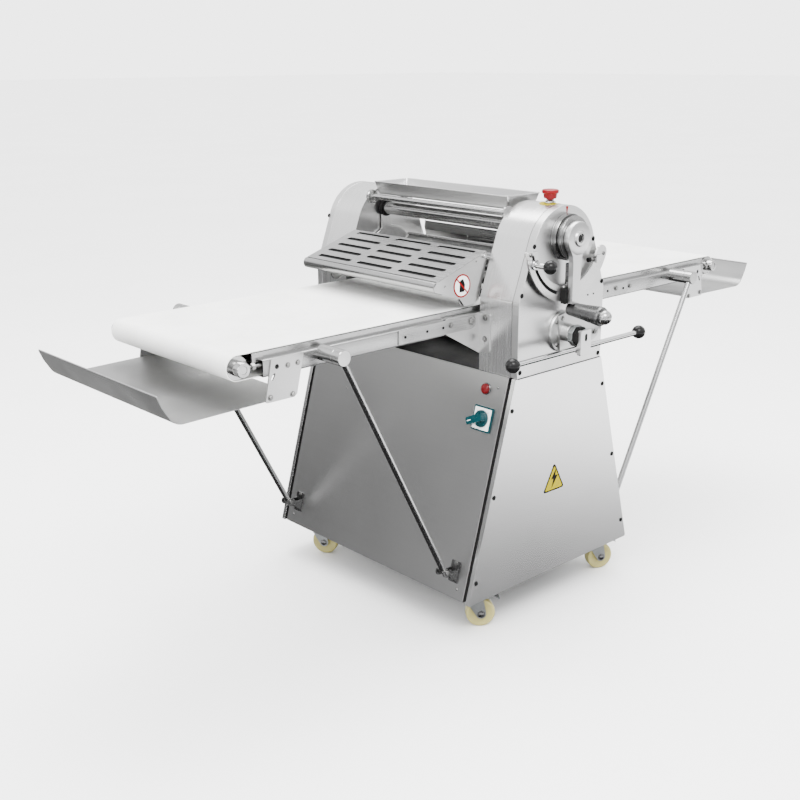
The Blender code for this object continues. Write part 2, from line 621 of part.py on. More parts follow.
def guard(name, sign):
    """Slotted finger guard over a belt, with a folded nose and side plates on a hinge rod."""
    top = [(0.141, 1.0022), (0.318, 0.9440)] + arc(0.3170, 0.9290, 0.0150, 70, -60, 7) + [(0.300, 0.9085)]
    under = ([(0.301, 0.9110)] + arc(0.3170, 0.9290, 0.0130, -58, 68, 7) + [(0.3170, 0.9422), (0.1405, 1.0003)])
    plate = prism(name, mirror(top + under, sign), "Y", -GUARD_HALF, GUARD_HALF, "brushed",
                  (sign * GUARD_X, 0, GUARD_Z))
    cheek = [(0.142, 1.0014), (0.139, 0.984), (0.168, 0.878), (0.200, 0.8685), (0.220, 0.8685), (0.238, 0.890),
             (0.302, 0.9095), (0.328, 0.920), (0.3305, 0.930), (0.3185, 0.9432)]
    pieces = []
    for low in (-GUARD_HALF, GUARD_HALF - 0.002):
        pieces.append(prism(f"cheek_{name}", mirror(cheek, sign), "Y", low, low + 0.002))
    join(plate, pieces)
    cut(plate, [rod_y(f"hinge_hole_{name}", sign * GUARD_X, GUARD_Z, -0.28, 0.28, 0.0054, 12)])
    run = Vector((0.318 - 0.141, 0.9440 - 1.0022))
    slots = bmesh.new()
    length, width = 0.134, 0.0075
    for row in range(5):
        for column in (-1, 0, 1):
            share = 0.08 + 0.20 * row
            x, z = 0.141 + run.x * share, 1.0022 + run.y * share
            slant = math.atan2(run.y, run.x)
            outline = (arc(0, length / 2 - width / 2, width / 2, 0, 180, 3)
                       + arc(0, -length / 2 + width / 2, width / 2, 180, 360, 3))
            rings = []
            for depth in (-0.012, 0.012):
                ring = []
                for u, v in outline:
                    px = x + u * math.cos(slant) - depth * math.sin(slant)
                    pz = z + u * math.sin(slant) + depth * math.cos(slant)
                    ring.append(slots.verts.new((sign * px, v + column * 0.165, pz)))
                rings.append(ring)
            for i in range(len(outline)):
                j = (i + 1) % len(outline)
                slots.faces.new((rings[0][i], rings[0][j], rings[1][j], rings[1][i]))
            slots.faces.new(rings[0][::-1])
            slots.faces.new(rings[1])
    cut(plate, [finish_object(f"slots_{name}", slots)])
    return plate


def head():
    for end, face in ENDS.items():
        housing(f"{end}_housing", face)
    sheeting_roller("lower_roller", LOWER_Z, (0.345, 0.300))
    sheeting_roller("upper_roller", UPPER_Z, (0.2660, 0.2660))
    roller_yoke()
    flour_tray()
    emergency_stop()
    gap_control()
    shift_control()
    for side, sign in SIDES.items():
        tie_rod(f"tie_rod_{side}", sign)
        guard_rod(f"guard_rod_{side}", sign)
        guard(f"guard_{side}", sign)


# ---------------------------------------------------------------- tables
def table_bracket(name, sign):
    """Pair of gussets on the housings' side faces, tied by a rod under the table."""
    gusset = mirror([(0.1708, 0.738), (0.1708, 0.847), (0.290, 0.847), (0.294, 0.843), (0.294, 0.807)], sign)
    bracket = rod_y(name, sign * 0.225, 0.785, -0.268, 0.268, 0.006, 12, "brushed")
    pieces, holes = [], []
    for end, face in ENDS.items():
        low, high = sorted((face * BRACKET_IN, face * BRACKET_OUT))
        pieces.append(prism(f"gusset_{name}_{end}", gusset, "Y", low, high))
        low, high = sorted((face * BRACKET_IN, face * 0.308))
        near, far = sorted((sign * 0.1705, sign * 0.1735))
        pieces.append(box(f"bracket_leg_{name}_{end}", (near, low, 0.743), (far, high, 0.8465)))
        low, high = sorted((face * 0.260, face * 0.280))
        holes.append(rod_y(f"bracket_hole_{name}_{end}", sign * FOLD_X, FOLD_Z, low, high, 0.0064, 12))
    join(bracket, pieces)
    return cut(bracket, holes)


def table_frame(name, sign):
    """Rails, slider deck, flat bars, hanger plates, strut standoffs and take-up screws."""
    deck_outline = [(-0.2550, 0.838), (-0.2550, 0.860), (0.2550, 0.860), (0.2550, 0.838),
                    (0.2505, 0.838), (0.2505, 0.8575), (-0.2505, 0.8575), (-0.2505, 0.838)]
    near, far = sorted((sign * 0.125, sign * 0.880))
    frame = prism(name, deck_outline, "X", near, far, "brushed", (sign * FOLD_X, 0, FOLD_Z))
    mid = (RAIL_LOW + RAIL_HIGH) / 2
    inner_rail = [(0.310, RAIL_HIGH)] + arc(DRIVE_X, mid, 0.020, 90, 270, 10) + [(0.310, RAIL_LOW)]
    bar = [(0.459, 0.8445)] + arc(FOLD_X, FOLD_Z - 0.003, 0.0175, 90, 270, 10) + [(0.459, 0.8075)]
    hanger = [(0.751, 0.8453), (0.773, 0.752), (0.781, 0.7455), (0.861, 0.7455), (0.841, 0.8453)]
    pieces = []
    for end, face in ENDS.items():
        tag = f"{name}_{end}"

        def span(low, high):
            return sorted((face * low, face * high))

        low, high = span(RAIL_IN, RAIL_OUT)
        x_low, x_high = sorted((sign * 0.302, sign * 0.862))
        pieces.append(box(f"rail_{tag}", (x_low, low, RAIL_LOW), (x_high, high, RAIL_HIGH)))
        pieces.append(prism(f"inner_rail_{tag}", mirror(inner_rail, sign), "Y", *span(RAIL_IN + 0.0003,
                                                                                      INNER_RAIL_OUT)))
        pieces.append(prism(f"bar_{tag}", mirror(bar, sign), "Y", *span(BAR_IN, BAR_OUT)))
        pieces.append(rod_y(f"pivot_{tag}", sign * FOLD_X, FOLD_Z, *span(0.2600, 0.2735), 0.006, 12))
        pieces.append(rod_y(f"pivot_head_{tag}", sign * FOLD_X, FOLD_Z, *span(0.2730, 0.2790), 0.010, 6))
        pieces.append(prism(f"hanger_{tag}", mirror(hanger, sign), "Y", *span(BAR_IN, BAR_OUT)))
        standoff = [(0, 0.268), (0.014, 0.268), (0.014, STRUT_Y - 0.0133), (0.0065, STRUT_Y - 0.0133),
                    (0.0065, 0.3435), (0, 0.3435)]
        pieces.append(turned(f"standoff_{tag}", standoff, (sign * STRUT_TOP_X, 0, BELT_AXIS_Z), (0, face, 0), 16))
        screw = [(0, 0), (0.004, 0), (0.004, 0.020), (0.0085, 0.020), (0.0085, 0.029), (0.004, 0.029),
                 (0.004, 0.0378), (0, 0.0378)]
        pieces.append(turned(f"take_up_{tag}", screw, (sign * 0.860, face * 0.262, BELT_AXIS_Z), (sign, 0, 0), 6))
    return join(frame, pieces)


def belt_roller(name, x, profile):
    """Roller under a belt; profile gives one half, mirrored about the middle."""
    full = [(r, -d) for r, d in profile[::-1]] + profile
    turned(name, full, (x, 0, BELT_AXIS_Z), (0, 1, 0), 20, "dull_steel", (x, 0, BELT_AXIS_Z))


def catch_tray(name, sign):
    """Shallow scoop under the table's end, with small side flanges for the hanger plates."""
    top = ([(1.1292, 0.8150), (1.1190, 0.7905), (1.1040, 0.7660)] + arc(1.0700, 0.7850, 0.0390, -30, -88, 6)
           + [(0.865, 0.7495), (0.775, 0.7525)])
    under = ([(0.775, 0.7505), (0.865, 0.7475)] + arc(1.0700, 0.7850, 0.0410, -88, -30, 6)
             + [(1.1208, 0.7895), (1.1310, 0.8143)])
    half = 0.2692
    tray = prism(name, mirror(top + under, sign), "Y", -half, half, "dull_steel", (sign * FOLD_X, 0, FOLD_Z))
    near, far = sorted((sign * 0.776, sign * 0.856))
    flanges = [box(f"flange_{name}_{y}", (near, y, 0.7490), (far, y + 0.0025, 0.7720))
               for y in (-half, half - 0.0025)]
    return join(tray, flanges)


def strut(name, sign, face):
    """Folding support rod: eye on the table's standoff, cross pin at the foot."""
    top = Vector((sign * STRUT_TOP_X, face * STRUT_Y, BELT_AXIS_Z))
    foot = Vector((sign * FOOT_X, face * STRUT_Y, FOOT_Z))
    eye = turned(name, [(0, 0.0090), (0.0069, 0.0090), (0.0069, -0.0130), (0.0155, -0.0130), (0.0155, 0.0125),
                        (0, 0.0125)], top, (0, face, 0), 16, "chrome", tuple(top))
    way = (foot - top).normalized()
    shank = rod(f"shank_{name}", top + way * 0.011, foot, 0.006, 12)
    pin = rod(f"foot_pin_{name}", foot - Vector((0, 0.0165, 0)), foot + Vector((0, 0.0165, 0)), 0.0060, 12)
    return join(eye, [shank, pin])


def strut_hook(name, sign, face):
    """Two-cheeked hook on a side cover; its open slots take the strut's cross pin."""
    cover = side_frame(sign, face * STRUT_Y, FOOT_Z)
    local = cover.inverted() @ Vector((sign * FOOT_X, face * STRUT_Y, FOOT_Z))
    pin_t, pin_n = local.y, -local.z

    def at(n, t, y):
        return cover @ Vector((y, t, -n))

    def plate(tag, outline, low, high):
        loops = [[at(n, t, y) for n, t in outline] for y in (low, high)]
        return finish_object(f"{tag}_{name}", loops_to_bmesh(loops))

    base = [(GAP, pin_t - 0.032), (GAP, pin_t + 0.030), (0.003, pin_t + 0.030), (0.003, pin_t - 0.032)]
    loops = [[at(n, t, y) for n, t in base] for y in (-0.0170, 0.0170)]
    hook = finish_object(name, loops_to_bmesh(loops), "zinc")
    cheek = hull([(0.0015, pin_t - 0.029), (0.0015, pin_t + 0.027), (pin_n - 0.012, pin_t + 0.022)]
                 + arc(pin_n, pin_t, 0.0145, -120, 60, 10))
    pieces = [plate("cheek", cheek, low, low + 0.0035) for low in (-0.0150, 0.0115)]
    join(hook, pieces)
    slot = arc(pin_n, pin_t, 0.0068, 132, 312, 8)
    mouth = 0.045
    for offset, spread in ((312, 0.0095), (132, 0.0095)):
        a, b = math.radians(42), math.radians(offset)
        slot.append((pin_n + mouth * math.cos(a) + (0.0068 + spread) * math.cos(b),
                     pin_t + mouth * math.sin(a) + (0.0068 + spread) * math.sin(b)))
    return cut(hook, [plate("slot", slot, -0.030, 0.030)])


def table(side, sign):
    table_bracket(f"table_bracket_{side}", sign)
    table_frame(f"table_frame_{side}", sign)
    belt_roller(f"drive_roller_{side}", sign * DRIVE_X,
                [(BELT_ROLLER_R, 0.2488), (0.0265, 0.2495), (0.008, 0.2495), (0.008, 0.2537), (0, 0.2537)])
    belt_roller(f"tail_roller_{side}", sign * TAIL_X,
                [(BELT_ROLLER_R, 0.2488), (0.0265, 0.2495), (0.0175, 0.2495), (0.0175, 0.2735),
                 (0.0160, 0.2750), (0, 0.2750)])
    belt_loop(f"belt_{side}", (sign * DRIVE_X, BELT_AXIS_Z, BELT_INNER_R),
              (sign * TAIL_X, BELT_AXIS_Z, BELT_INNER_R), BELT_OUTER_R - BELT_INNER_R,
              -BELT_HALF, BELT_HALF, "belt", (sign * FOLD_X, 0, FOLD_Z))
    catch_tray(f"catch_tray_{side}", sign)
    for end, face in ENDS.items():
        strut(f"strut_{side}_{end}", sign, face)
        strut_hook(f"strut_hook_{side}_{end}", sign, face)


# ---------------------------------------------------------------- whole machine
def clear_scene():
    for obj in list(bpy.data.objects):
        bpy.data.objects.remove(obj, do_unlink=True)


def build():
    clear_scene()
    base_frame()
    end_cover("front_panel", -1)
    rear_cover_with_gland()
    for side, sign in SIDES.items():
        side_cover(f"{side}_panel", sign)
    drive()
    casters()
    controls()
    head()
    for side, sign in SIDES.items():
        table(side, sign)
    for obj in bpy.data.objects:
        obj.location.y += CABINET_Y


build()
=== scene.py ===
"""Looks of the dough sheeter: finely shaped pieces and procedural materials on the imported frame.

Pieces are laid out about the middle of the cabinet, X along the belts, operator on -Y,
and emit() moves them back by CABINET_Y.  Lengths are in metres.  Outline points are
(x, z), (y, z) or (x, y) pairs, as the axis of each prism says.
"""

import math

import bmesh
import bpy
from mathutils import Matrix, Vector

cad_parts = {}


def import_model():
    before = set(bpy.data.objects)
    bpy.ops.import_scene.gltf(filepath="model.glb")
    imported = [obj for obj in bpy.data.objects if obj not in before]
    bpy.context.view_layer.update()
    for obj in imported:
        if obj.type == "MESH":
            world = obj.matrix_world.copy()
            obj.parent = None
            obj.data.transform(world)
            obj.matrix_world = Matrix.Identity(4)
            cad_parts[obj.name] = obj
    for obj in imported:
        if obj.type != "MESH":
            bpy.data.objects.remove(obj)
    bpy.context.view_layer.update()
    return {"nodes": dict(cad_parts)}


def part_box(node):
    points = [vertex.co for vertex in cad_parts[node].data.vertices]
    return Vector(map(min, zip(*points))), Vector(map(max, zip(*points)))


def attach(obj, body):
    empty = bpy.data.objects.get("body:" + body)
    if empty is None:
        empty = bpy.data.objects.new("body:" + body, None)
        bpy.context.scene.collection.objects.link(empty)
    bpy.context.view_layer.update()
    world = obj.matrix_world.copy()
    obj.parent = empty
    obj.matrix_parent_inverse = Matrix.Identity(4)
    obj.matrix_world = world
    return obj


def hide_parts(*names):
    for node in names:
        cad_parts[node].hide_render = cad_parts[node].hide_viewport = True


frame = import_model()

# ---------------------------------------------------------------- dimensions taken from the frame
CABINET_Y = (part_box("front_housing")[0].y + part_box("rear_housing")[1].y) / 2
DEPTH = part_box("rear_housing")[1].y - CABINET_Y
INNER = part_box("rear_housing")[0].y - CABINET_Y
LOWER_Z = (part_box("lower_roller")[0].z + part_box("lower_roller")[1].z) / 2
UPPER_Z = (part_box("upper_roller")[0].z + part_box("upper_roller")[1].z) / 2
BELT_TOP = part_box("belt_left")[1].z

# ---------------------------------------------------------------- dimensions of the object
SHEET = 0.0015
SHARP = math.radians(35)
CABINET_BOTTOM, CABINET_TOP = 0.107, 0.692
BOTTOM_HALF, TOP_HALF = 0.337, 0.175
SIDE_HALF = 0.380
HEAD_HALF = 0.170
HEAD_SHOULDER = 0.890
CROWN_Z, CROWN_R = 0.997, 0.123
BELT_HALF = 0.250
BELT_R = 0.030
BELT_THICK = 0.002
ROLLER_R = 0.0277
BELT_AXIS = BELT_TOP - BELT_R
DRIVE_X, TAIL_X = 0.090, 0.916
SHEETING_R, SHEETING_HALF = 0.044, 0.257
FOLD_X, FOLD_Z = 0.206, 0.830
RAIL_LOW, RAIL_HIGH = 0.805, 0.845
RAIL_IN, RAIL_OUT, INNER_RAIL_OUT = 0.254, 0.2705, 0.262
BAR_IN, BAR_OUT = 0.270, 0.274
STRUT_TOP_X, STRUT_Y = 0.693, 0.335
FOOT_X, FOOT_Z = 0.362, 0.195
DIAL_Z, SHIFT_Z = 1.040, 0.792
SHIFT_ROD_Y, SHIFT_ROD_Z = 0.465, 0.757
QUADRANT_IN, QUADRANT_OUT = 0.126, 0.166
STOP_RADIUS, STOP_ANGLE = 0.145, -157.7
GUARD_X, GUARD_Z, GUARD_HALF = 0.152, 0.990, 0.262
TIE_ROD_X, TIE_ROD_Z, TIE_ROD_R = 0.068, 1.0915, 0.008
CASTER_X, CASTER_Y, CASTER_TRAIL, WHEEL_R = 0.260, 0.330, 0.032, 0.040
CASTER_TURN = {"front_left": -37.0, "front_right": -24.0, "rear_left": -60.0, "rear_right": 48.0}

SIDES = {"left": -1, "right": 1}
ENDS = {"front": -1, "rear": 1}
SLOPE = (BOTTOM_HALF - TOP_HALF) / (CABINET_TOP - CABINET_BOTTOM)
LEAN = math.atan(SLOPE)


# ---------------------------------------------------------------- surfaces
FINE = 900
MOTTLE = 0.06
NOISE_MIDDLE = (0.35, 0.65)

# ---------------------------------------------------------------- studio
WHITE = (1, 1, 1)
CAMERA_YAW, CAMERA_PITCH, CAMERA_ROLL = 42.5146, -17.038, -0.259
CAMERA_X, CAMERA_FRONT, CAMERA_HEIGHT = -2.2458, -2.2252, 1.4807
SENSOR_WIDTH = 36
FOCAL_LENGTH = 1118.98 * SENSOR_WIDTH / 800
REFLECTION_STRENGTH, CAMERA_STRENGTH = 2.5, 4.0
LIGHT_BELOW, LIGHT_ABOVE = 0.1, 6.6
REFLECTION_STOPS = [(0.0, 0.02), (0.24, 0.03), (0.31, 0.06), (0.36, 2.60), (0.39, 1.60), (0.42, 0.80),
    (0.46, 0.70), (0.515, 0.20), (0.55, 0.22), (0.61, 0.90), (0.72, 1.05), (0.85, 0.95), (1.0, 0.45)]
LIGHTS = [("key", (-1.6, -2.4, 3.8), 0.6, (2.0, 1.4), 170),
    ("fill", (-3.8, -0.6, 2.2), 0.6, (1.4, 2.0), 40), ("top", (0.5, 0.8, 4.0), 0.8, (3.0, 2.2), 240)]


# ---------------------------------------------------------------- outlines
def side_x(z):
    """Half width of the cabinet's outer face at height z."""
    return TOP_HALF + (CABINET_TOP - z) * SLOPE


def arc(cx, cz, radius, start, end, steps):
    """Points on a circle from start to end, in degrees."""
    angles = [math.radians(start + (end - start) * i / steps) for i in range(steps + 1)]
    return [(cx + radius * math.cos(a), cz + radius * math.sin(a)) for a in angles]


def mirror(points, sign):
    """Outline with its first coordinates turned over when sign is -1."""
    return [(sign * a, b) for a, b in points]


def rounded(points, radius, steps=4):
    """The same outline with its corners rounded; radius is a number or one per corner."""
    out = []
    count = len(points)
    for i, p in enumerate(points):
        r = radius[i] if isinstance(radius, (list, tuple)) else radius
        here = Vector(p)
        a = (Vector(points[i - 1]) - here)
        b = (Vector(points[(i + 1) % count]) - here)
        half = a.angle(b) / 2
        reach = min(r / math.tan(half), a.length * 0.49, b.length * 0.49)
        if r <= 0 or reach < 1e-6:
            out.append(p)
            continue
        start, end = here + a.normalized() * reach, here + b.normalized() * reach
        for k in range(steps + 1):
            t = k / steps
            q = start.lerp(here, t).lerp(here.lerp(end, t), t)
            out.append((q.x, q.y))
    return out


def rectangle(left, low, right, high, radius=0, steps=4):
    """Rectangle between two corners, with its corners rounded."""
    return rounded([(left, low), (right, low), (right, high), (left, high)], radius, steps)


def inset(outline, distance):
    """Move each edge of a counter-clockwise convex outline inwards by a distance."""
    count = len(outline)
    lines = []
    for i in range(count):
        a, b = Vector(outline[i]), Vector(outline[(i + 1) % count])
        along = (b - a).normalized()
        lines.append((a + Vector((-along.y, along.x)) * distance, along))
    corners = []
    for i in range(count):
        (p, d), (q, e) = lines[i - 1], lines[i]
        cross = d.x * e.y - d.y * e.x
        t = ((q.x - p.x) * e.y - (q.y - p.y) * e.x) / cross if abs(cross) > 1e-9 else 0
        corners.append((p.x + d.x * t, p.y + d.y * t))
    return corners


def both_ends(half):
    """Profile of a solid of revolution that is alike at both ends, from its far half."""
    return [(r, -d) for r, d in half[::-1]] + half


def dome(radius, base, height, step):
    """Profile points of a dome, from its rim almost to its top."""
    return [(radius * a, base + height * b) for a, b in arc(0, 0, 1.0, 0, 90 - step, 90 // step - 1)]


def slot_outline(cx, cz, length, width, steps=6, turn=0.0):
    """Round-ended slot about a centre, its length along the first axis turned by turn degrees."""
    half = (length - width) / 2
    points = arc(half, 0, width / 2, -90, 90, steps) + arc(-half, 0, width / 2, 90, 270, steps)
    c, s = math.cos(math.radians(turn)), math.sin(math.radians(turn))
    return [(cx + a * c - b * s, cz + a * s + b * c) for a, b in points]


# ---------------------------------------------------------------- solids added to a bmesh
def add_skin(bm, loops, caps=True, closed=False):
    """Faces between successive loops of equal length, with caps or joined into a ring."""
    rings = [[bm.verts.new(p) for p in loop] for loop in loops]
    pairs = list(zip(rings, rings[1:]))
    if closed:
        pairs.append((rings[-1], rings[0]))
    for low, high in pairs:
        for i in range(len(low)):
            j = (i + 1) % len(low)
            bm.faces.new((low[i], low[j], high[j], high[i]))
    if caps and not closed:
        bm.faces.new(rings[0][::-1])
        bm.faces.new(rings[-1])


def spot(axis, pair, along):
    """Point of a cross-section pair placed along an axis."""
    a, b = pair
    return {"X": (along, a, b), "Y": (a, along, b), "Z": (a, b, along)}[axis]


def add_prism(bm, outline, axis, low, high):
    """Outline extruded along an axis from low to high."""
    add_skin(bm, [[spot(axis, p, d) for p in outline] for d in (low, high)])


def add_box(bm, low, high):
    """Box between two corners."""
    outline = [(low[0], low[1]), (high[0], low[1]), (high[0], high[1]), (low[0], high[1])]
    add_prism(bm, outline, "Z", low[2], high[2])


def add_turned(bm, profile, start, direction, sides=32):
    """Solid of revolution; profile holds (radius, distance along direction from start)."""
    axis = Vector(direction).normalized()
    across = axis.orthogonal().normalized()
    if abs(axis.z) < 0.9:
        across = axis.cross(Vector((0, 0, 1))).normalized()
    other = axis.cross(across)
    rings = []
    for radius, distance in profile:
        centre = Vector(start) + axis * distance
        if radius < 1e-7:
            rings.append([bm.verts.new(centre)])
            continue
        ring = []
        for i in range(sides):
            a = 2 * math.pi * (i + 0.5) / sides
            ring.append(bm.verts.new(centre + (across * math.cos(a) + other * math.sin(a)) * radius))
        rings.append(ring)
    pairs = list(zip(rings, rings[1:]))
    if len(rings[0]) > 1:
        pairs.append((rings[-1], rings[0]))
    for low, high in pairs:
        for i in range(sides):
            j = (i + 1) % sides
            corners = [low[i % len(low)], low[j % len(low)], high[j % len(high)], high[i % len(high)]]
            unique = list(dict.fromkeys(corners))
            if len(unique) > 2:
                bm.faces.new(unique)


def add_rod(bm, start, end, radius, sides=20):
    """Rod with slightly broken end edges."""
    start, end = Vector(start), Vector(end)
    length = (end - start).length
    edge = min(0.0006, radius * 0.2)
    profile = [(0, 0), (radius - edge, 0), (radius, edge), (radius, length - edge), (radius - edge, length),
        (0, length)]
    add_turned(bm, profile, start, end - start, sides)


def add_rod_y(bm, x, z, low, high, radius, sides=20):
    """Rod along Y."""
    add_rod(bm, (x, low, z), (x, high, z), radius, sides)


def add_plate(bm, outer, holes, place, thickness):
    """Flat plate with holes.  place is a matrix, and the plate spans 0 to thickness on its Z."""
    edges = []
    for outline in [outer, *holes]:
        ring = [bm.verts.new(place @ Vector((a, b, 0))) for a, b in outline]
        edges += [bm.edges.new((ring[i - 1], ring[i])) for i in range(len(ring))]
    filled = bmesh.ops.triangle_fill(bm, edges=edges, use_beauty=True, use_dissolve=False)
    faces = [g for g in filled["geom"] if isinstance(g, bmesh.types.BMFace)]
    grown = bmesh.ops.extrude_face_region(bm, geom=faces, use_keep_orig=True)
    lifted = [g for g in grown["geom"] if isinstance(g, bmesh.types.BMVert)]
    step = normal_of(place) * thickness
    bmesh.ops.translate(bm, vec=step, verts=lifted)


def normal_of(place):
    """Unit direction of a frame's Z axis."""
    return (place.to_3x3() @ Vector((0, 0, 1))).normalized()


def frame_of(origin, u, v, w):
    """Matrix of a frame from its origin and three axes."""
    return Matrix.Translation(origin) @ Matrix((u, v, w)).transposed().to_4x4()


def upright(y, face=-1):
    """Frame of a plate that faces along Y: its X is X, its Y is Z, and it grows along face*Y."""
    return frame_of((0, y, 0), (1, 0, 0), (0, 0, 1), (0, face, 0))


def side_frame(sign, y=0.0, z=CABINET_BOTTOM):
    """Frame on a leaning cover: X along -sign*Y, Y up the slope, Z into the cabinet."""
    u = (0, -sign, 0)
    v = (-sign * math.sin(LEAN), 0, math.cos(LEAN))
    w = (-sign * math.cos(LEAN), 0, -math.sin(LEAN))
    return frame_of((sign * side_x(z), y, z), u, v, w)


def out_frame(sign, y, z):
    """Frame on a leaning cover whose Z points out of the cabinet."""
    inward = side_frame(sign, y, z)
    return inward @ Matrix.Rotation(math.pi, 4, "Y")


def add_hex_bolt(bm, centre, direction, radius, height=None):
    """Hexagon head on a thin washer."""
    direction = Vector(direction).normalized()
    height = height or radius * 0.65
    base = 0.0010
    add_turned(bm, [(0, 0), (radius * 1.32, 0), (radius * 1.38, 0.0004), (radius * 1.32, 0.0012),
        (0, 0.0012)], centre, direction, 24)
    add_turned(bm, [(0, base), (radius, base), (radius, base + height * 0.85),
        (radius * 0.86, base + height), (0, base + height)], centre, direction, 6)


def add_socket_screw(bm, centre, direction, radius, height=None, washer=False):
    """Button-head screw with a round-bottomed socket."""
    height = height or radius * 0.62
    low = 0.0
    if washer:
        add_turned(bm, [(0, 0), (radius * 1.5, 0), (radius * 1.55, 0.0003), (radius * 1.5, 0.0009),
            (0, 0.0009)], centre, direction, 24)
        low = 0.0008
    cap = [(radius * math.cos(math.radians(t)), low + height * (0.25 + 0.75 * math.sin(math.radians(t))))
        for t in (0, 20, 40, 58)]
    add_turned(bm, [(0, low), (radius, low), *cap, (radius * 0.42, low + height),
        (radius * 0.38, low + height * 0.4), (0, low + height * 0.35)], centre, direction, 24)


# ---------------------------------------------------------------- pieces
def solid(add, *args, **more):
    """A new mesh that holds what one of the add functions makes."""
    bm = bmesh.new()
    add(bm, *args, **more)
    return bm


def emit(name, bm, look, body, replaces=(), bevel=0.0, segments=2):
    """Turn a bmesh into a piece that rides on a body."""
    bmesh.ops.recalc_face_normals(bm, faces=bm.faces)
    bmesh.ops.translate(bm, vec=(0, CABINET_Y, 0), verts=bm.verts)
    mesh = bpy.data.meshes.new(name)
    bm.to_mesh(mesh)
    bm.free()
    mesh.shade_smooth()
    mesh.materials.append(MATERIALS[look])
    obj = bpy.data.objects.new(name, mesh)
    bpy.context.collection.objects.link(obj)
    if bevel:
        modifier = obj.modifiers.new("edges", "BEVEL")
        modifier.width = bevel
        modifier.segments = segments
        modifier.limit_method = "ANGLE"
        modifier.angle_limit = SHARP
        modifier.harden_normals = True
    else:
        mesh.set_sharp_from_angle(angle=SHARP)
    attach(obj, body)
    if replaces:
        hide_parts(*replaces)
    return obj


# ---------------------------------------------------------------- materials
def new_material(name):
    """Material, its node tree and its principled shader."""
    mat = bpy.data.materials.new(name)
    mat.use_nodes = True
    return mat, mat.node_tree, mat.node_tree.nodes["Principled BSDF"]


def noise(tree, scale, detail=3.0, rough=0.55, stretch=(1, 1, 1)):
    """Noise in object space, stretched along its axes; returns its value socket."""
    nodes, links = tree.nodes, tree.links
    where = nodes.new("ShaderNodeTexCoord")
    mapping = nodes.new("ShaderNodeMapping")
    mapping.inputs["Scale"].default_value = stretch
    links.new(where.outputs["Object"], mapping.inputs["Vector"])
    texture = nodes.new("ShaderNodeTexNoise")
    texture.inputs["Scale"].default_value = scale
    texture.inputs["Detail"].default_value = detail
    texture.inputs["Roughness"].default_value = rough
    links.new(mapping.outputs["Vector"], texture.inputs["Vector"])
    return texture.outputs["Fac"]


def ranged(tree, value, start, end, low=0.0, high=1.0, kind="LINEAR"):
    """Map start..end of a value onto low..high."""
    node = tree.nodes.new("ShaderNodeMapRange")
    node.interpolation_type = kind
    for key, number in zip(("From Min", "From Max", "To Min", "To Max"), (start, end, low, high)):
        node.inputs[key].default_value = number
    tree.links.new(value, node.inputs["Value"])
    return node.outputs["Result"]


def span(tree, value, low, high):
    """Map the middle of a noise value onto low..high."""
    return ranged(tree, value, *NOISE_MIDDLE, low, high)


def add(tree, a, b):
    """Sum of two values."""
    node = tree.nodes.new("ShaderNodeMath")
    node.operation = "ADD"
    tree.links.new(a, node.inputs[0])
    tree.links.new(b, node.inputs[1])
    return node.outputs[0]


def tint(tree, factor, dark, light):
    """Colour between dark and light."""
    node = tree.nodes.new("ShaderNodeMix")
    node.data_type = "RGBA"
    node.inputs["A"].default_value = (*dark, 1)
    node.inputs["B"].default_value = (*light, 1)
    tree.links.new(factor, node.inputs["Factor"])
    return node.outputs["Result"]


def bump(tree, shader, height, strength, distance):
    """Surface relief from a height value."""
    node = tree.nodes.new("ShaderNodeBump")
    node.inputs["Strength"].default_value = strength
    node.inputs["Distance"].default_value = distance
    tree.links.new(height, node.inputs["Height"])
    tree.links.new(node.outputs["Normal"], shader.inputs["Normal"])


def scaled(colour, k):
    """Colour made lighter or darker."""
    return tuple(min(1.0, c * k) for c in colour)


def metal(name, colour, rough, stretch, contrast=0.08, depth=0.25, smear=0.05):
    """Ground or brushed metal: fine grain drawn out along one direction, and faint smears."""
    mat, tree, shader = new_material(name)
    shader.inputs["Metallic"].default_value = 1.0
    grain = noise(tree, 1.0, 4.0, 0.7, stretch)
    cloud = noise(tree, 5.0, 3.0, 0.5)
    tone = span(tree, grain, 0.0, 1.0)
    tree.links.new(tint(tree, tone, scaled(colour, 1 - contrast), scaled(colour, 1 + contrast)),
        shader.inputs["Base Color"])
    wander = min(0.05, smear)
    level = add(tree, span(tree, grain, rough - wander, rough + wander), span(tree, cloud, -smear, smear))
    tree.links.new(level, shader.inputs["Roughness"])
    bump(tree, shader, grain, depth, 0.0002)
    return mat


def coat(name, colour, rough, speckle=900.0, depth=0.10, dark=0.85, shine=0.5):
    """Paint, rubber or moulded plastic with a fine surface texture and slight tone changes."""
    mat, tree, shader = new_material(name)
    shader.inputs["Specular IOR Level"].default_value = shine
    fine = noise(tree, speckle, 2.0)
    cloud = noise(tree, 9.0, 4.0, 0.6)
    tree.links.new(tint(tree, span(tree, cloud, 0.0, 1.0), scaled(colour, dark), colour),
        shader.inputs["Base Color"])
    level = add(tree, span(tree, fine, rough - MOTTLE / 2, rough + MOTTLE / 2),
        span(tree, cloud, -MOTTLE, MOTTLE))
    tree.links.new(level, shader.inputs["Roughness"])
    bump(tree, shader, fine, depth, 0.0001)
    return mat


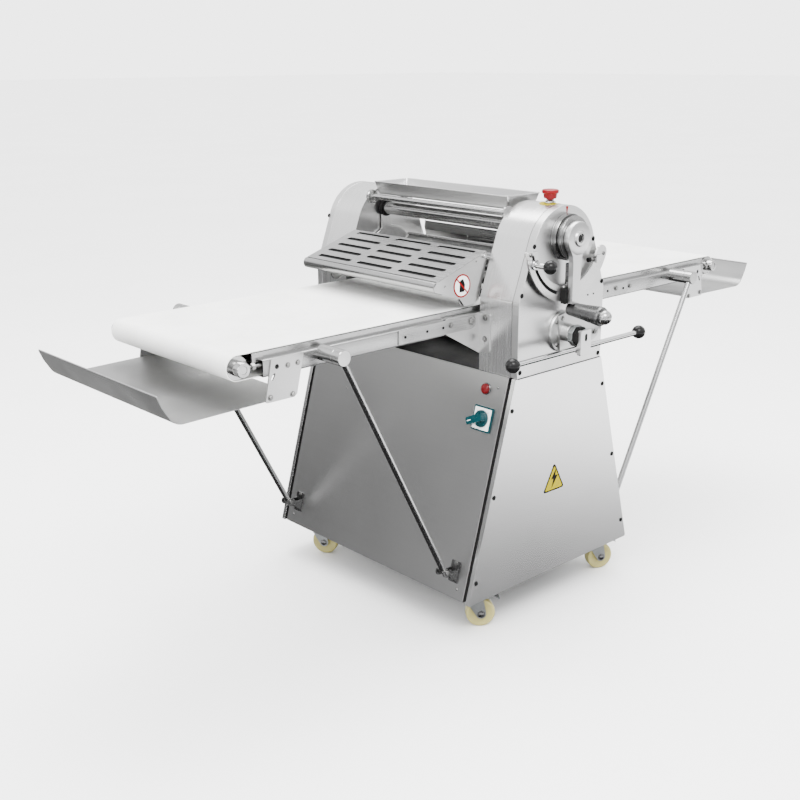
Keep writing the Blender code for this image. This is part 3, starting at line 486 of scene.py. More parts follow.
def belt_cloth(name):
    """White coated conveyor fabric with a fine weave pressed into its surface."""
    mat, tree, shader = new_material(name)
    nodes, links = tree.nodes, tree.links
    where = nodes.new("ShaderNodeTexCoord")
    waves = []
    for direction in ("X", "Y"):
        wave = nodes.new("ShaderNodeTexWave")
        wave.wave_type = "BANDS"
        wave.bands_direction = direction
        wave.inputs["Scale"].default_value = 210.0
        wave.inputs["Distortion"].default_value = 0.6
        links.new(where.outputs["Object"], wave.inputs["Vector"])
        waves.append(wave.outputs["Fac"])
    weave = nodes.new("ShaderNodeMath")
    weave.operation = "MULTIPLY"
    links.new(waves[0], weave.inputs[0])
    links.new(waves[1], weave.inputs[1])
    cloud = noise(tree, 6.0, 4.0, 0.6)
    dust = noise(tree, 45.0, 5.0, 0.7)
    tone = add(tree, span(tree, cloud, 0.0, 0.6), span(tree, dust, 0.0, 0.4))
    links.new(tint(tree, tone, (0.72, 0.72, 0.70), (0.83, 0.83, 0.815)), shader.inputs["Base Color"])
    links.new(span(tree, cloud, 0.48, 0.62), shader.inputs["Roughness"])
    shader.inputs["Sheen Weight"].default_value = 0.15
    bump(tree, shader, weave.outputs[0], 0.15, 0.0003)
    return mat


STEEL = (0.56, 0.56, 0.557)
MATERIALS = {
    # Lighter copy of the steel for the end covers: painted light.
    "steel_front_painted_light": metal("steel_front_painted_light", scaled(STEEL, 1.14), 0.25, (2, 3, FINE), 0.015, 0.002, 0.006),
    # Darker copy of the steel for the left cover: painted shade. The right cover takes the plain steel.
    "steel_side_painted_shade": metal("steel_side_painted_shade", scaled(STEEL, 0.80), 0.30, (3, 2, FINE), 0.015, 0.002, 0.006),
    "steel_side_right": metal("steel_side_right", STEEL, 0.30, (3, 2, FINE), 0.015, 0.002, 0.006),
    # Lighter copy of the steel for the head's wrap: painted light.
    "steel_head_painted_light": metal("steel_head_painted_light", scaled(STEEL, 1.12), 0.27, (2, FINE, 2), 0.06, 0.06, 0.03),
    "steel_face": metal("steel_face", STEEL, 0.33, (2, 2, FINE), 0.04, 0.05, 0.03),
    "steel_long": metal("steel_long", scaled(STEEL, 0.66), 0.28, (2, FINE, FINE)),
    "steel_guard": metal("steel_guard", scaled(STEEL, 0.55), 0.30, (FINE, 2, FINE)),
    # Darker copy of the steel for the catch trays: painted shade of the belts above them.
    "steel_tray_painted_shade": metal("steel_tray_painted_shade", scaled(STEEL, 0.50), 0.36, (FINE, 2, FINE), smear=0.08),
    "steel_dull": metal("steel_dull", scaled(STEEL, 0.78), 0.36, (120, 120, 120), contrast=0.05),
    "steel_dark": metal("steel_dark", (0.14, 0.14, 0.14), 0.26, (120, 120, 120), 0.10, 0.10, 0.05),
    "roller": metal("roller", (0.20, 0.20, 0.20), 0.16, (2, FINE, 2), contrast=0.04, depth=0.1),
    "chrome": metal("chrome", (0.58, 0.58, 0.58), 0.10, (60, 60, 60), 0.03, 0.05, 0.03),
    "chrome_strut": metal("chrome_strut", (0.40, 0.40, 0.40), 0.24, (60, 60, 60), 0.02, 0.004, 0.02),
    "bolt": metal("bolt", (0.24, 0.24, 0.235), 0.28, (300, 300, 300), contrast=0.08),
    "zinc": metal("zinc", (0.25, 0.26, 0.26), 0.34, (60, 60, 60), contrast=0.10, smear=0.08),
    "cast": metal("cast", (0.58, 0.58, 0.575), 0.33, (160, 160, 160), 0.06, 0.35, 0.06),
    "turned": metal("turned", (0.38, 0.38, 0.376), 0.20, (30, FINE, 30), contrast=0.06),
    # Darker copy of the turned steel for the dial: painted shade.
    "dial": metal("dial", (0.25, 0.25, 0.248), 0.20, (30, FINE, 30), contrast=0.06),
    "black_bolt": coat("black_bolt", (0.006, 0.006, 0.006), 0.35, 700, 0.08, shine=0.12),
    "black_paint": coat("black_paint", (0.007, 0.007, 0.007), 0.50, 400, 0.2, shine=0.10),
    "motor_paint": coat("motor_paint", (0.07, 0.11, 0.16), 0.40, 350, 0.25),
    "belt": belt_cloth("belt"),
    "rubber": coat("rubber", (0.006, 0.006, 0.006), 0.66, 600, 0.3, shine=0.05),
    "black_gloss": coat("black_gloss", (0.005, 0.005, 0.005), 0.22, 500, 0.03, shine=0.22),
    "nylon": coat("nylon", (0.36, 0.32, 0.12), 0.42, 500, 0.12, dark=0.90, shine=0.3),
    "lamp_red": coat("lamp_red", (0.085, 0.0003, 0.002), 0.22, 500, 0.03, shine=0.25),
    "red": coat("red", (0.17, 0.0006, 0.004), 0.30, 500, 0.05, shine=0.25),
    "red_print": coat("red_print", (0.19, 0.001, 0.002), 0.45, 700, 0.05, shine=0.08),
    "grey_plastic": coat("grey_plastic", (0.50, 0.51, 0.51), 0.42),
    "white_plastic": coat("white_plastic", (0.80, 0.81, 0.80), 0.34, 700, 0.06, dark=0.94),
    "yellow_print": coat("yellow_print", (0.29, 0.235, 0.0001), 0.45, 700, 0.05, shine=0.06),
    "black_print": coat("black_print", (0.004, 0.004, 0.004), 0.45, 700, 0.05, shine=0.06),
    "teal": coat("teal", (0.0003, 0.030, 0.036), 0.25, 500, 0.05, shine=0.25),
}


# ---------------------------------------------------------------- cabinet
def add_pan(bm, outline, place, depth, wall=SHEET):
    """Sheet-metal cover whose face lies at the frame's z = 0 and whose folded edges run to depth."""
    inner = inset(outline, wall)
    loops = [(outline, 0), (outline, depth), (inner, depth), (inner, wall)]
    add_skin(bm, [[place @ Vector((a, b, z)) for a, b in points] for points, z in loops])


def end_covers():
    """Front and rear covers with their screws, and a black strip under the head that is painted shade of
    the gap there.
    """
    corners = [(-BOTTOM_HALF, CABINET_BOTTOM), (BOTTOM_HALF, CABINET_BOTTOM), (TOP_HALF, CABINET_TOP),
        (-TOP_HALF, CABINET_TOP)]
    outline = rounded(corners, 0.003, 3)
    for end, face in ENDS.items():
        bm = bmesh.new()
        place = upright(face * DEPTH, -face)
        add_pan(bm, outline, place, 0.013)
        # The end covers take the lighter copy of the steel as painted light.
        emit(f"{end}_cover", bm, "steel_front_painted_light", "base", [f"{end}_panel"], bevel=0.0012, segments=3)
        bm = bmesh.new()
        for z in (0.611, 0.389, 0.166):
            for sign in (-1, 1):
                x = sign * (side_x(z) - 0.011)
                add_socket_screw(bm, (x, face * (DEPTH + 0.0001), z), (0, face, 0), 0.0042, washer=True)
        emit(f"{end}_cover_screws", bm, "black_bolt", "base")
        # A thin black strip along the top of each cover: painted shade of the gap under the head.
        bm = bmesh.new()
        low, high = sorted((face * (DEPTH + 0.0001), face * (DEPTH + 0.0007)))
        add_box(bm, (-HEAD_HALF + 0.002, low, CABINET_TOP - 0.0016),
            (HEAD_HALF - 0.002, high, CABINET_TOP + 0.0016))
        emit(f"{end}_top_gap_painted_shade", bm, "black_paint", "base")


def side_covers():
    """Left and right covers with their screws."""
    height = (CABINET_TOP - CABINET_BOTTOM) / math.cos(LEAN)
    outline = rectangle(-SIDE_HALF, 0.004, SIDE_HALF, height, 0.003, 3)
    for side, sign in SIDES.items():
        bm = bmesh.new()
        add_pan(bm, outline, side_frame(sign), 0.012)
        # The left cover takes the darker copy of the steel as painted shade.
        look = "steel_side_painted_shade" if sign < 0 else "steel_side_right"
        emit(f"{side}_cover", bm, look, "base", [f"{side}_panel"], bevel=0.0012, segments=3)
        bm = bmesh.new()
        for y, z in ((0.221, 0.547), (-0.352, 0.662), (0.352, 0.662), (-0.352, 0.137), (0.352, 0.137)):
            place = out_frame(sign, y, z)
            add_socket_screw(bm, place.translation, normal_of(place), 0.0035)
        emit(f"{side}_cover_screws", bm, "bolt", "base")


def cable_gland():
    """Gland for a supply cord, low on the rear cover."""
    bm = bmesh.new()
    start = (0.235, DEPTH, 0.165)
    add_turned(bm, [(0, 0), (0.0125, 0), (0.014, 0.0005), (0.014, 0.006), (0.0125, 0.0065), (0, 0.0065)],
        start, (0, 1, 0), 6)
    add_turned(bm, [(0, 0.006), (0.0105, 0.006), (0.0112, 0.008), (0.0112, 0.015), (0.0095, 0.018),
        (0.0055, 0.018), (0.0055, 0.010), (0, 0.010)], start, (0, 1, 0), 32)
    emit("cable_gland", bm, "grey_plastic", "base")


def hazard_sign():
    """Plain yellow triangle with a dark rim and a simple zigzag."""
    corners = [(-0.052, 0.346), (0.036, 0.346), (-0.008, 0.4265)]
    layers = [("hazard_rim", "black_print", rounded(corners, 0.006, 4), 0.0004),
        ("hazard_field", "yellow_print", rounded(inset(corners, 0.0042), 0.004, 4), 0.0006)]
    for name, look, outline, thickness in layers:
        emit(name, solid(add_plate, outline, [], upright(-DEPTH), thickness), look, "base")
    bm = bmesh.new()
    zigzag = [(0.000, 0.410), (-0.021, 0.380), (-0.011, 0.381), (-0.018, 0.354), (0.007, 0.389),
        (-0.004, 0.389)]
    add_plate(bm, zigzag, [], upright(-DEPTH), 0.0008)
    emit("hazard_mark", bm, "black_print", "base")


def pilot_lamp():
    """Red lamp in a dark ring on the left cover."""
    place = out_frame(-1, -0.313, 0.652)
    out = normal_of(place)
    emit("pilot_lamp_ring", solid(add_turned, [(0.0138, 0.0003), (0.0156, 0.0003), (0.0160, 0.0010),
        (0.0158, 0.0034), (0.0148, 0.0044), (0.0140, 0.0044), (0.0138, 0.0030)], place.translation, out,
        48), "steel_dark", "base")
    emit("pilot_lamp_lens", solid(add_turned, [(0, 0.0005), (0.0137, 0.0005),
        *dome(0.0137, 0.0060, 0.0065, 10), (0, 0.0125)], place.translation, out, 48), "lamp_red", "base",
        ["pilot_lamp"])


def rotary_switch():
    """Switch plate and its turned handle on the left cover."""
    place = out_frame(-1, -0.322, 0.576)
    out = normal_of(place)
    square = rectangle(-0.033, -0.033, 0.033, 0.033, 0.004, 4)
    lift = place @ Matrix.Translation((0, 0, 0.0003))
    emit("switch_frame", solid(add_plate, square, [], lift, 0.0042), "teal", "base", ["switch_plate"],
        bevel=0.0008)
    bm = bmesh.new()
    inner = rounded(inset(rectangle(-0.033, -0.033, 0.033, 0.033), 0.0045), 0.002, 3)
    add_plate(bm, inner, [], place @ Matrix.Translation((0, 0, 0.0040)), 0.0018)
    emit("switch_face", bm, "white_plastic", "base", bevel=0.0005)
    bm = bmesh.new()
    for turn in (0, 90):
        mark = place @ Matrix.Rotation(math.radians(turn + 47), 4, "Z") @ Matrix.Translation((0, 0, 0.0057))
        add_plate(bm, rectangle(0.0245, -0.0007, 0.0280, 0.0007), [], mark, 0.0003)
    emit("switch_marks", bm, "black_print", "base")
    bm = bmesh.new()
    add_turned(bm, [(0, 0.0064), (0.0228, 0.0064), (0.0232, 0.0072), (0.0226, 0.0110), (0.0210, 0.0122),
        (0, 0.0122)], place.translation, out, 48)
    grip = place @ Matrix.Rotation(math.radians(206), 4, "Z") @ Matrix.Translation((0, 0, 0.0118))
    outline = rounded([(-0.0215, -0.0108), (0.0325, -0.0098), (0.0325, 0.0098), (-0.0215, 0.0108)], 0.0045,
        5)
    add_plate(bm, outline, [], grip, 0.0200)
    emit("switch_handle", bm, "teal", "switch_body", ["switch_knob"], bevel=0.0016, segments=3)
    emit("switch_pointer", solid(add_plate, rectangle(0.016, -0.0008, 0.0285, 0.0008), [],
        grip @ Matrix.Translation((0, 0, 0.0200)), 0.0002), "white_plastic", "switch_body")


def cabinet():
    """Everything fixed to the cabinet."""
    end_covers()
    side_covers()
    cable_gland()
    hazard_sign()
    pilot_lamp()
    rotary_switch()


# ---------------------------------------------------------------- casters
def casters():
    """Four swivel casters; the front pair is braked."""
    for end, face in ENDS.items():
        for side, sign in SIDES.items():
            caster(f"{end}_{side}", sign * CASTER_X, face * CASTER_Y, end == "front")


def caster(name, x, y, braked):
    """One caster: fork, axle, pedal and tyre, turned to its own heading."""
    heading = math.radians(CASTER_TURN[name])
    along = Vector((math.cos(heading), math.sin(heading), 0))
    across = Vector((-math.sin(heading), math.cos(heading), 0))
    local = frame_of((x, y, 0), along, across, (0, 0, 1))
    fork, wheel = f"caster_fork_{name}", f"caster_wheel_{name}"
    bm = bmesh.new()
    add_turned(bm, [(0, 0.0945), (0.0205, 0.0945), (0.0225, 0.0952), (0.0250, 0.0980), (0.0262, 0.1000),
        (0.0262, 0.1034), (0.0250, 0.1037), (0, 0.1037)], (x, y, 0), (0, 0, 1), 48)
    leg = arc(CASTER_TRAIL, WHEEL_R, 0.0140, 200, 370, 14) + [(0.0365, 0.0925), (0.0345, 0.0946),
        (-0.0165, 0.0946), (-0.0182, 0.0925)]
    for v in (-0.0205, 0.0175):
        stand = local @ frame_of((0, v + 0.003, 0), (1, 0, 0), (0, 0, 1), (0, -1, 0))
        add_plate(bm, leg, [], stand, 0.003)
    crown = rectangle(-0.0175, -0.0195, 0.0340, 0.0195, 0.004, 4)
    add_plate(bm, crown, [], local @ Matrix.Translation((0, 0, 0.0915)), 0.0032)
    emit(f"{fork}_body", bm, "zinc", fork + "_body", [fork], bevel=0.0009)
    centre = Vector((x, y, WHEEL_R)) + along * CASTER_TRAIL
    bm = bmesh.new()
    add_turned(bm, rectangle(0, 0.0900, 0.0072, 0.0945), (x, y, 0), (0, 0, 1), 6)
    for v in (-1, 1):
        add_turned(bm, [(0, 0.0205), (0.0112, 0.0205), (0.0112, 0.0215), (0.0080, 0.0216), (0.0080, 0.0238),
            (0.0068, 0.0243), (0, 0.0243)], centre, across * v, 6)
    add_turned(bm, rectangle(0, -0.019, 0.0048, 0.019), centre, across, 24)
    emit(f"{fork}_axle", bm, "steel_dark", fork + "_body")
    if braked:
        bm = bmesh.new()
        pedal = [(0.030, 0.0875), (0.066, 0.0870), (0.083, 0.0790), (0.0842, 0.0810), (0.0670, 0.0895),
            (0.030, 0.0900)]
        stand = local @ frame_of((0, 0.0135, 0), (1, 0, 0), (0, 0, 1), (0, -1, 0))
        add_plate(bm, pedal, [], stand, 0.027)
        emit(f"{fork}_brake", bm, "zinc", fork + "_body", bevel=0.0005)
    bm = bmesh.new()
    half = [(0.0056, 0.0150), (0.0120, 0.0150), (0.0135, 0.0142), (0.0142, 0.0112), (0.0160, 0.0100),
        (0.0285, 0.0112), (0.0310, 0.0130), (0.0362, 0.0134), (0.0384, 0.0126), (0.0396, 0.0100),
        (0.0400, 0.0060)]
    add_turned(bm, [(r, -d) for r, d in half] + [(r, d) for r, d in half[::-1]], centre, across, 64)
    emit(f"{wheel}_tyre", bm, "nylon", wheel + "_body", [wheel])


# ---------------------------------------------------------------- head
def head_outline():
    """Section of the sheeting head: straight sides, leaning shoulders and a round crown."""
    dx, dz = HEAD_HALF, HEAD_SHOULDER - CROWN_Z
    reach = math.hypot(dx, dz)
    start = math.degrees(math.atan2(dz, dx) + math.acos(CROWN_R / reach))
    bottom = CABINET_TOP + 0.0005
    shoulder = rounded([(HEAD_HALF, bottom), (HEAD_HALF, HEAD_SHOULDER),
        (CROWN_R * math.cos(math.radians(start)), CROWN_Z + CROWN_R * math.sin(math.radians(start)))],
        [0, 0.020, 0], 6)[1:-1]
    crown = arc(0, CROWN_Z, CROWN_R, start, 180 - start, 56)
    return ([(-HEAD_HALF, bottom), (HEAD_HALF, bottom)] + shoulder + crown
        + [(-a, b) for a, b in shoulder[::-1]])


def housing(end, face):
    """Wrap sheet with its inner wall, and a pressed cap over the outer end."""
    name = f"{end}_housing"
    outline = head_outline()
    seam = DEPTH - 0.0225
    bm = bmesh.new()
    hole = arc(0, LOWER_Z, 0.014, 0, 348, 29)
    add_plate(bm, outline, [hole], upright(face * INNER, face), 0.002)
    outer = outline[1:] + outline[:1]
    inner = inset(outline, 0.002)
    inner = inner[1:] + inner[:1]
    inner[0] = (inner[0][0], outer[0][1])
    inner[-1] = (inner[-1][0], outer[-1][1])
    low, high = sorted((face * (INNER + 0.0021), face * (seam - 0.0008)))
    add_prism(bm, outer + inner[::-1], "Y", low, high)
    # The wrap takes the lighter copy of the steel as painted light.
    emit(f"{name}_wrap", bm, "steel_head_painted_light", "base", [name], bevel=0.0006)
    bm = bmesh.new()
    add_pan(bm, outline, upright(face * DEPTH, -face), DEPTH - seam, 0.002)
    emit(f"{name}_cap", bm, "steel_face", "base", bevel=0.0014, segments=3)
    # A black lining behind the gap between wrap and cap: painted shade in the gap.
    bm = bmesh.new()
    lining = inset(outline, 0.0012)
    add_pan(bm, lining, upright(face * (seam - 0.004), face), 0.008, 0.001)
    emit(f"{name}_seam", bm, "black_paint", "base")
    bm = bmesh.new()
    for x, z in ((-0.121, 1.027), (-0.164, 0.908), (0.118, 1.022), (0.163, 0.903), (-0.163, 0.708),
                 (0.162, 0.704)):
        add_socket_screw(bm, (x * 0.985, face * DEPTH, z), (0, face, 0), 0.0042, washer=True)
    for x in (0.104, 0.128):
        add_socket_screw(bm, (x, face * DEPTH, 0.8735), (0, face, 0), 0.0026)
    emit(f"{name}_screws", bm, "black_bolt", "base")
    emit(f"{name}_bearing", solid(add_turned, [(0.0142, 0.2600), (0.0290, 0.2600), (0.0300, 0.2608),
        (0.0300, 0.2698), (0.0142, 0.2698)], (0, 0, LOWER_Z), (0, face, 0), 40), "cast", "base")


def sheeting_rollers():
    """Lower and upper sheeting rollers."""
    for name, z, rear, front, neck in (("lower_roller", LOWER_Z, 0.345, 0.300, 0.0125),
                                       ("upper_roller", UPPER_Z, 0.266, 0.266, 0.012)):
        r, half = SHEETING_R, SHEETING_HALF
        emit(f"{name}_shell", solid(add_turned, [(neck, -half), (r - 0.0012, -half), (r, -half + 0.0012),
            (r, half - 0.0012), (r - 0.0012, half), (neck, half)], (0, 0, z), (0, 1, 0), 96), "roller",
            f"{name}_body", [name])
        emit(f"{name}_journal", solid(add_turned, [(0, -front), (neck - 0.001, -front),
            (neck, -front + 0.001), (neck, rear - 0.001), (neck - 0.001, rear), (0, rear)], (0, 0, z),
            (0, 1, 0), 40), "turned", f"{name}_body")


def roller_yoke():
    """Yoke that carries the upper roller, with the scraper bars."""
    x, z = -0.020, 1.055
    emit("yoke_shaft", solid(add_turned, rectangle(0, -0.2590, 0.018, 0.2590), (x, 0, z), (0, 1, 0), 48),
        "turned", "roller_carriage", ["roller_yoke"])
    edge = math.degrees(math.asin((0.868 - UPPER_Z) / 0.080))
    bm = bmesh.new()
    for face in (-1, 1):
        ear = arc(0, UPPER_Z, 0.080, edge, 180 - edge, 48)
        hole = arc(0, UPPER_Z, 0.0124, 0, 348, 29)
        add_plate(bm, ear, [hole], upright(face * 0.2597, face), 0.0068)
        arm = rounded([(-0.035, 0.960), (0.006, 0.960), (-0.006, 1.055), (-0.034, 1.055)], 0.004, 3)
        add_plate(bm, arm, [], upright(face * 0.2601, face), 0.0060)
    emit("yoke_plates", bm, "cast", "roller_carriage", bevel=0.0007)
    bm = bmesh.new()
    for face in (-1, 1):
        add_turned(bm, [(0.0182, 0.2535), (0.0232, 0.2535), (0.0240, 0.2545), (0.0240, 0.2660),
            (0.0232, 0.2669), (0, 0.2669), (0, 0.2640), (0.0182, 0.2640)], (x, 0, z), (0, face, 0), 48)
    emit("yoke_collars", bm, "black_paint", "roller_carriage")
    bm = bmesh.new()
    for sign in (-1, 1):
        reach = [(0.0455, 0.9445), (0.0700, 0.9660), (0.0695, 0.9675), (0.0445, 0.9460)]
        add_prism(bm, mirror(reach, sign), "Y", -0.2560, 0.2560)
    emit("scraper_blades", bm, "steel_guard", "roller_carriage")
    bm = bmesh.new()
    for sign in (-1, 1):
        add_rod_y(bm, sign * 0.0705, 0.9700, -0.2600, 0.2600, 0.0048)
    emit("scraper_bars", bm, "turned", "roller_carriage")


def tie_rods():
    """Rods that join the two housings."""
    end = INNER - 0.0003
    for side, sign in SIDES.items():
        bm = bmesh.new()
        half = [(TIE_ROD_R, end - 0.0085), (0.0090, end - 0.0078), (0.0185, end - 0.0066),
            (0.0200, end - 0.0052), (0.0200, end), (0, end)]
        add_turned(bm, both_ends(half), (sign * TIE_ROD_X, 0, TIE_ROD_Z), (0, 1, 0), 40)
        emit(f"tie_rod_{side}_bar", bm, "turned", "base", [f"tie_rod_{side}"])


def flour_tray():
    """Open tray resting on the tie rods."""
    low = TIE_ROD_Z + TIE_ROD_R + 0.0003
    bm = bmesh.new()
    loops = []
    for pull, z in ((0.010, 0), (0.0010, 0.0325), (0, 0.0345), (0, 0.0358), (0.0012, 0.0362),
                    (0.0030, 0.0350), (0.0115, SHEET)):
        a, b = 0.066 - pull, 0.2612 - pull
        points = rounded([(-a, -b), (a, -b), (a, b), (-a, b)], 0.006, 4)
        loops.append([Vector((x, y, low + z)) for x, y in points])
    add_skin(bm, loops)
    emit("flour_tray_pan", bm, "steel_face", "base", ["flour_tray"], bevel=0.0006)


def add_crown_patch(bm, cy, rings, face_lift):
    """Thin round label that follows the housing's crown; rings is (inner, outer) radius."""
    low, high = rings
    loops = []
    for radius, lift in ((low, 0.0001), (high, 0.0001), (high, face_lift), (low, face_lift)):
        loop = []
        for i in range(48):
            a = 2 * math.pi * i / 48
            x, y = radius * math.cos(a), radius * math.sin(a)
            loop.append(Vector((x, cy + y, CROWN_Z + math.sqrt(CROWN_R ** 2 - x * x) + lift)))
        loops.append(loop)
    add_skin(bm, loops, closed=True)


def emergency_stop():
    """Red mushroom button on its collar."""
    top = CROWN_Z + CROWN_R
    place = (0, -0.350, top)
    emit("e_stop_label", solid(add_crown_patch, -0.350, (0.012, 0.0275), 0.0005), "yellow_print", "base")
    emit("e_stop_collar", solid(add_turned, [(0.0104, 0.0006), (0.0148, 0.0006), (0.0150, 0.0012),
        (0.0150, 0.0036), (0.0142, 0.0043), (0.0122, 0.0046), (0.0120, 0.0058), (0.0116, 0.0062),
        (0.0104, 0.0062)], place, (0, 0, 1), 48), "chrome", "base", ["e_stop_base"])
    emit("e_stop_cap", solid(add_turned, [(0, 0.0085), (0.0098, 0.0085), (0.0100, 0.0122), (0.0158, 0.0126),
        (0.0166, 0.0140), (0.0176, 0.0215), (0.0188, 0.0245), (0.0208, 0.0258), (0.0219, 0.0272),
        (0.0220, 0.0318), (0.0214, 0.0338), (0.0190, 0.0352), (0.0110, 0.0362), (0, 0.0365)], place,
        (0, 0, 1), 64), "red", "e_stop_body", ["e_stop_button"])


def index_mark():
    """Red mark by the dial."""
    emit("index_mark", solid(add_plate, [(-0.0012, 1.1165), (0.0077, 1.1165), (0.0042, 1.1000),
        (0.0023, 1.1000)], [], upright(-DEPTH), 0.0004), "red_print", "base")


# ---------------------------------------------------------------- gap control
def gap_dial():
    """Stepped dial the gap lever turns on."""
    out, hub = (0, -1, 0), (0, -DEPTH, DIAL_Z)
    # The dial takes the darker copy of the turned steel as painted shade.
    emit("gap_dial_rings", solid(add_turned, [(0, 0.0003), (0.0592, 0.0003), (0.0600, 0.0012),
        (0.0600, 0.0062), (0.0588, 0.0070), (0.0588, 0.0078), (0.0600, 0.0086), (0.0600, 0.0160),
        (0.0590, 0.0172), (0.0532, 0.0180), (0.0532, 0.0210), (0.0555, 0.0218), (0.0560, 0.0226),
        (0.0560, 0.0290), (0.0550, 0.0300), (0, 0.0300)], hub, out, 96), "dial", "gap_lever_body",
        ["gap_dial"])


def gap_lever():
    """Hub, arm, slide, pawl and drooping grip of the gap lever."""
    y, out, hub = -DEPTH, (0, -1, 0), (0, -DEPTH, DIAL_Z)
    emit("lever_hub", solid(add_turned, [(0, 0.0305), (0.0424, 0.0305), (0.0430, 0.0311), (0.0430, 0.0452),
        (0.0421, 0.0468), (0.0400, 0.0477), (0.0215, 0.0480), (0.0208, 0.0474), (0.0200, 0.0480),
        (0.0190, 0.0510), (0.0176, 0.0522), (0.0125, 0.0525), (0.0115, 0.0518), (0.0108, 0.0485),
        (0, 0.0482)], hub, out, 80), "steel_face", "gap_lever_body", ["gap_lever"])
    emit("lever_hub_socket", solid(add_turned, [(0, 0.0481), (0.0104, 0.0484), (0.0104, 0.0490),
        (0.0052, 0.0490), (0.0050, 0.0484), (0, 0.0483)], hub, out, 6), "black_bolt", "gap_lever_body")
    fillet_l = [(-0.0375, 1.0200), (-0.0300, 1.0085), (-0.0235, 0.9960), (-0.0205, 0.9800)]
    fillet_r = [(0.0115, 0.9800), (0.0150, 0.9960), (0.0240, 1.0085), (0.0350, 1.0200)]
    outline = [(-0.0190, 0.8720), (0.0082, 0.8720)] + fillet_r + fillet_l
    outline = rounded(outline, [0.004, 0.004, 0.02, 0.02, 0.02, 0, 0, 0.02, 0.02, 0.02], 4)
    emit("lever_arm", solid(add_plate, outline, [], upright(y - 0.0320), 0.0150), "steel_face",
        "gap_lever_body", bevel=0.0011, segments=3)
    bm = bmesh.new()
    slide = rectangle(-0.0165, 0.905, 0.0080, 0.976, 0.003, 3)
    add_plate(bm, slide, [], upright(y - 0.0180), 0.0141)
    emit("lever_slide", bm, "steel_dark", "gap_lever_body", bevel=0.0006)
    bm = bmesh.new()
    block = rectangle(-0.0310, 0.872, 0.0115, 0.912, 0.003, 3)
    add_plate(bm, block, [], upright(y - 0.0180), 0.0138)
    emit("lever_pawl", bm, "black_paint", "gap_lever_body", bevel=0.0008)
    droop = (0, -1, -0.05)
    emit("lever_grip", solid(add_turned, [(0, 0.0225), (0.0150, 0.0225), (0.0168, 0.0240), (0.0178, 0.0300),
        (0.0205, 0.0750), (0.0236, 0.1080), (0.0248, 0.1210), (0.0250, 0.1265), (0.0236, 0.1300),
        (0.0165, 0.1310), (0, 0.1310)], (0, y, 0.857), droop, 64), "steel_dark", "gap_lever_body")
    emit("lever_grip_end", solid(add_turned, [(0, 0.1290), (0.0160, 0.1290), (0.0180, 0.1310),
        *dome(0.0188, 0.1370, 0.0180, 9), (0, 0.1550)], (0, y, 0.857), droop, 64), "turned",
        "gap_lever_body")


def on_dial(radius, angle):
    """The (x, z) of a point at an angle in degrees round the dial's axis."""
    return arc(0, DIAL_Z, radius, angle, angle, 1)[0]


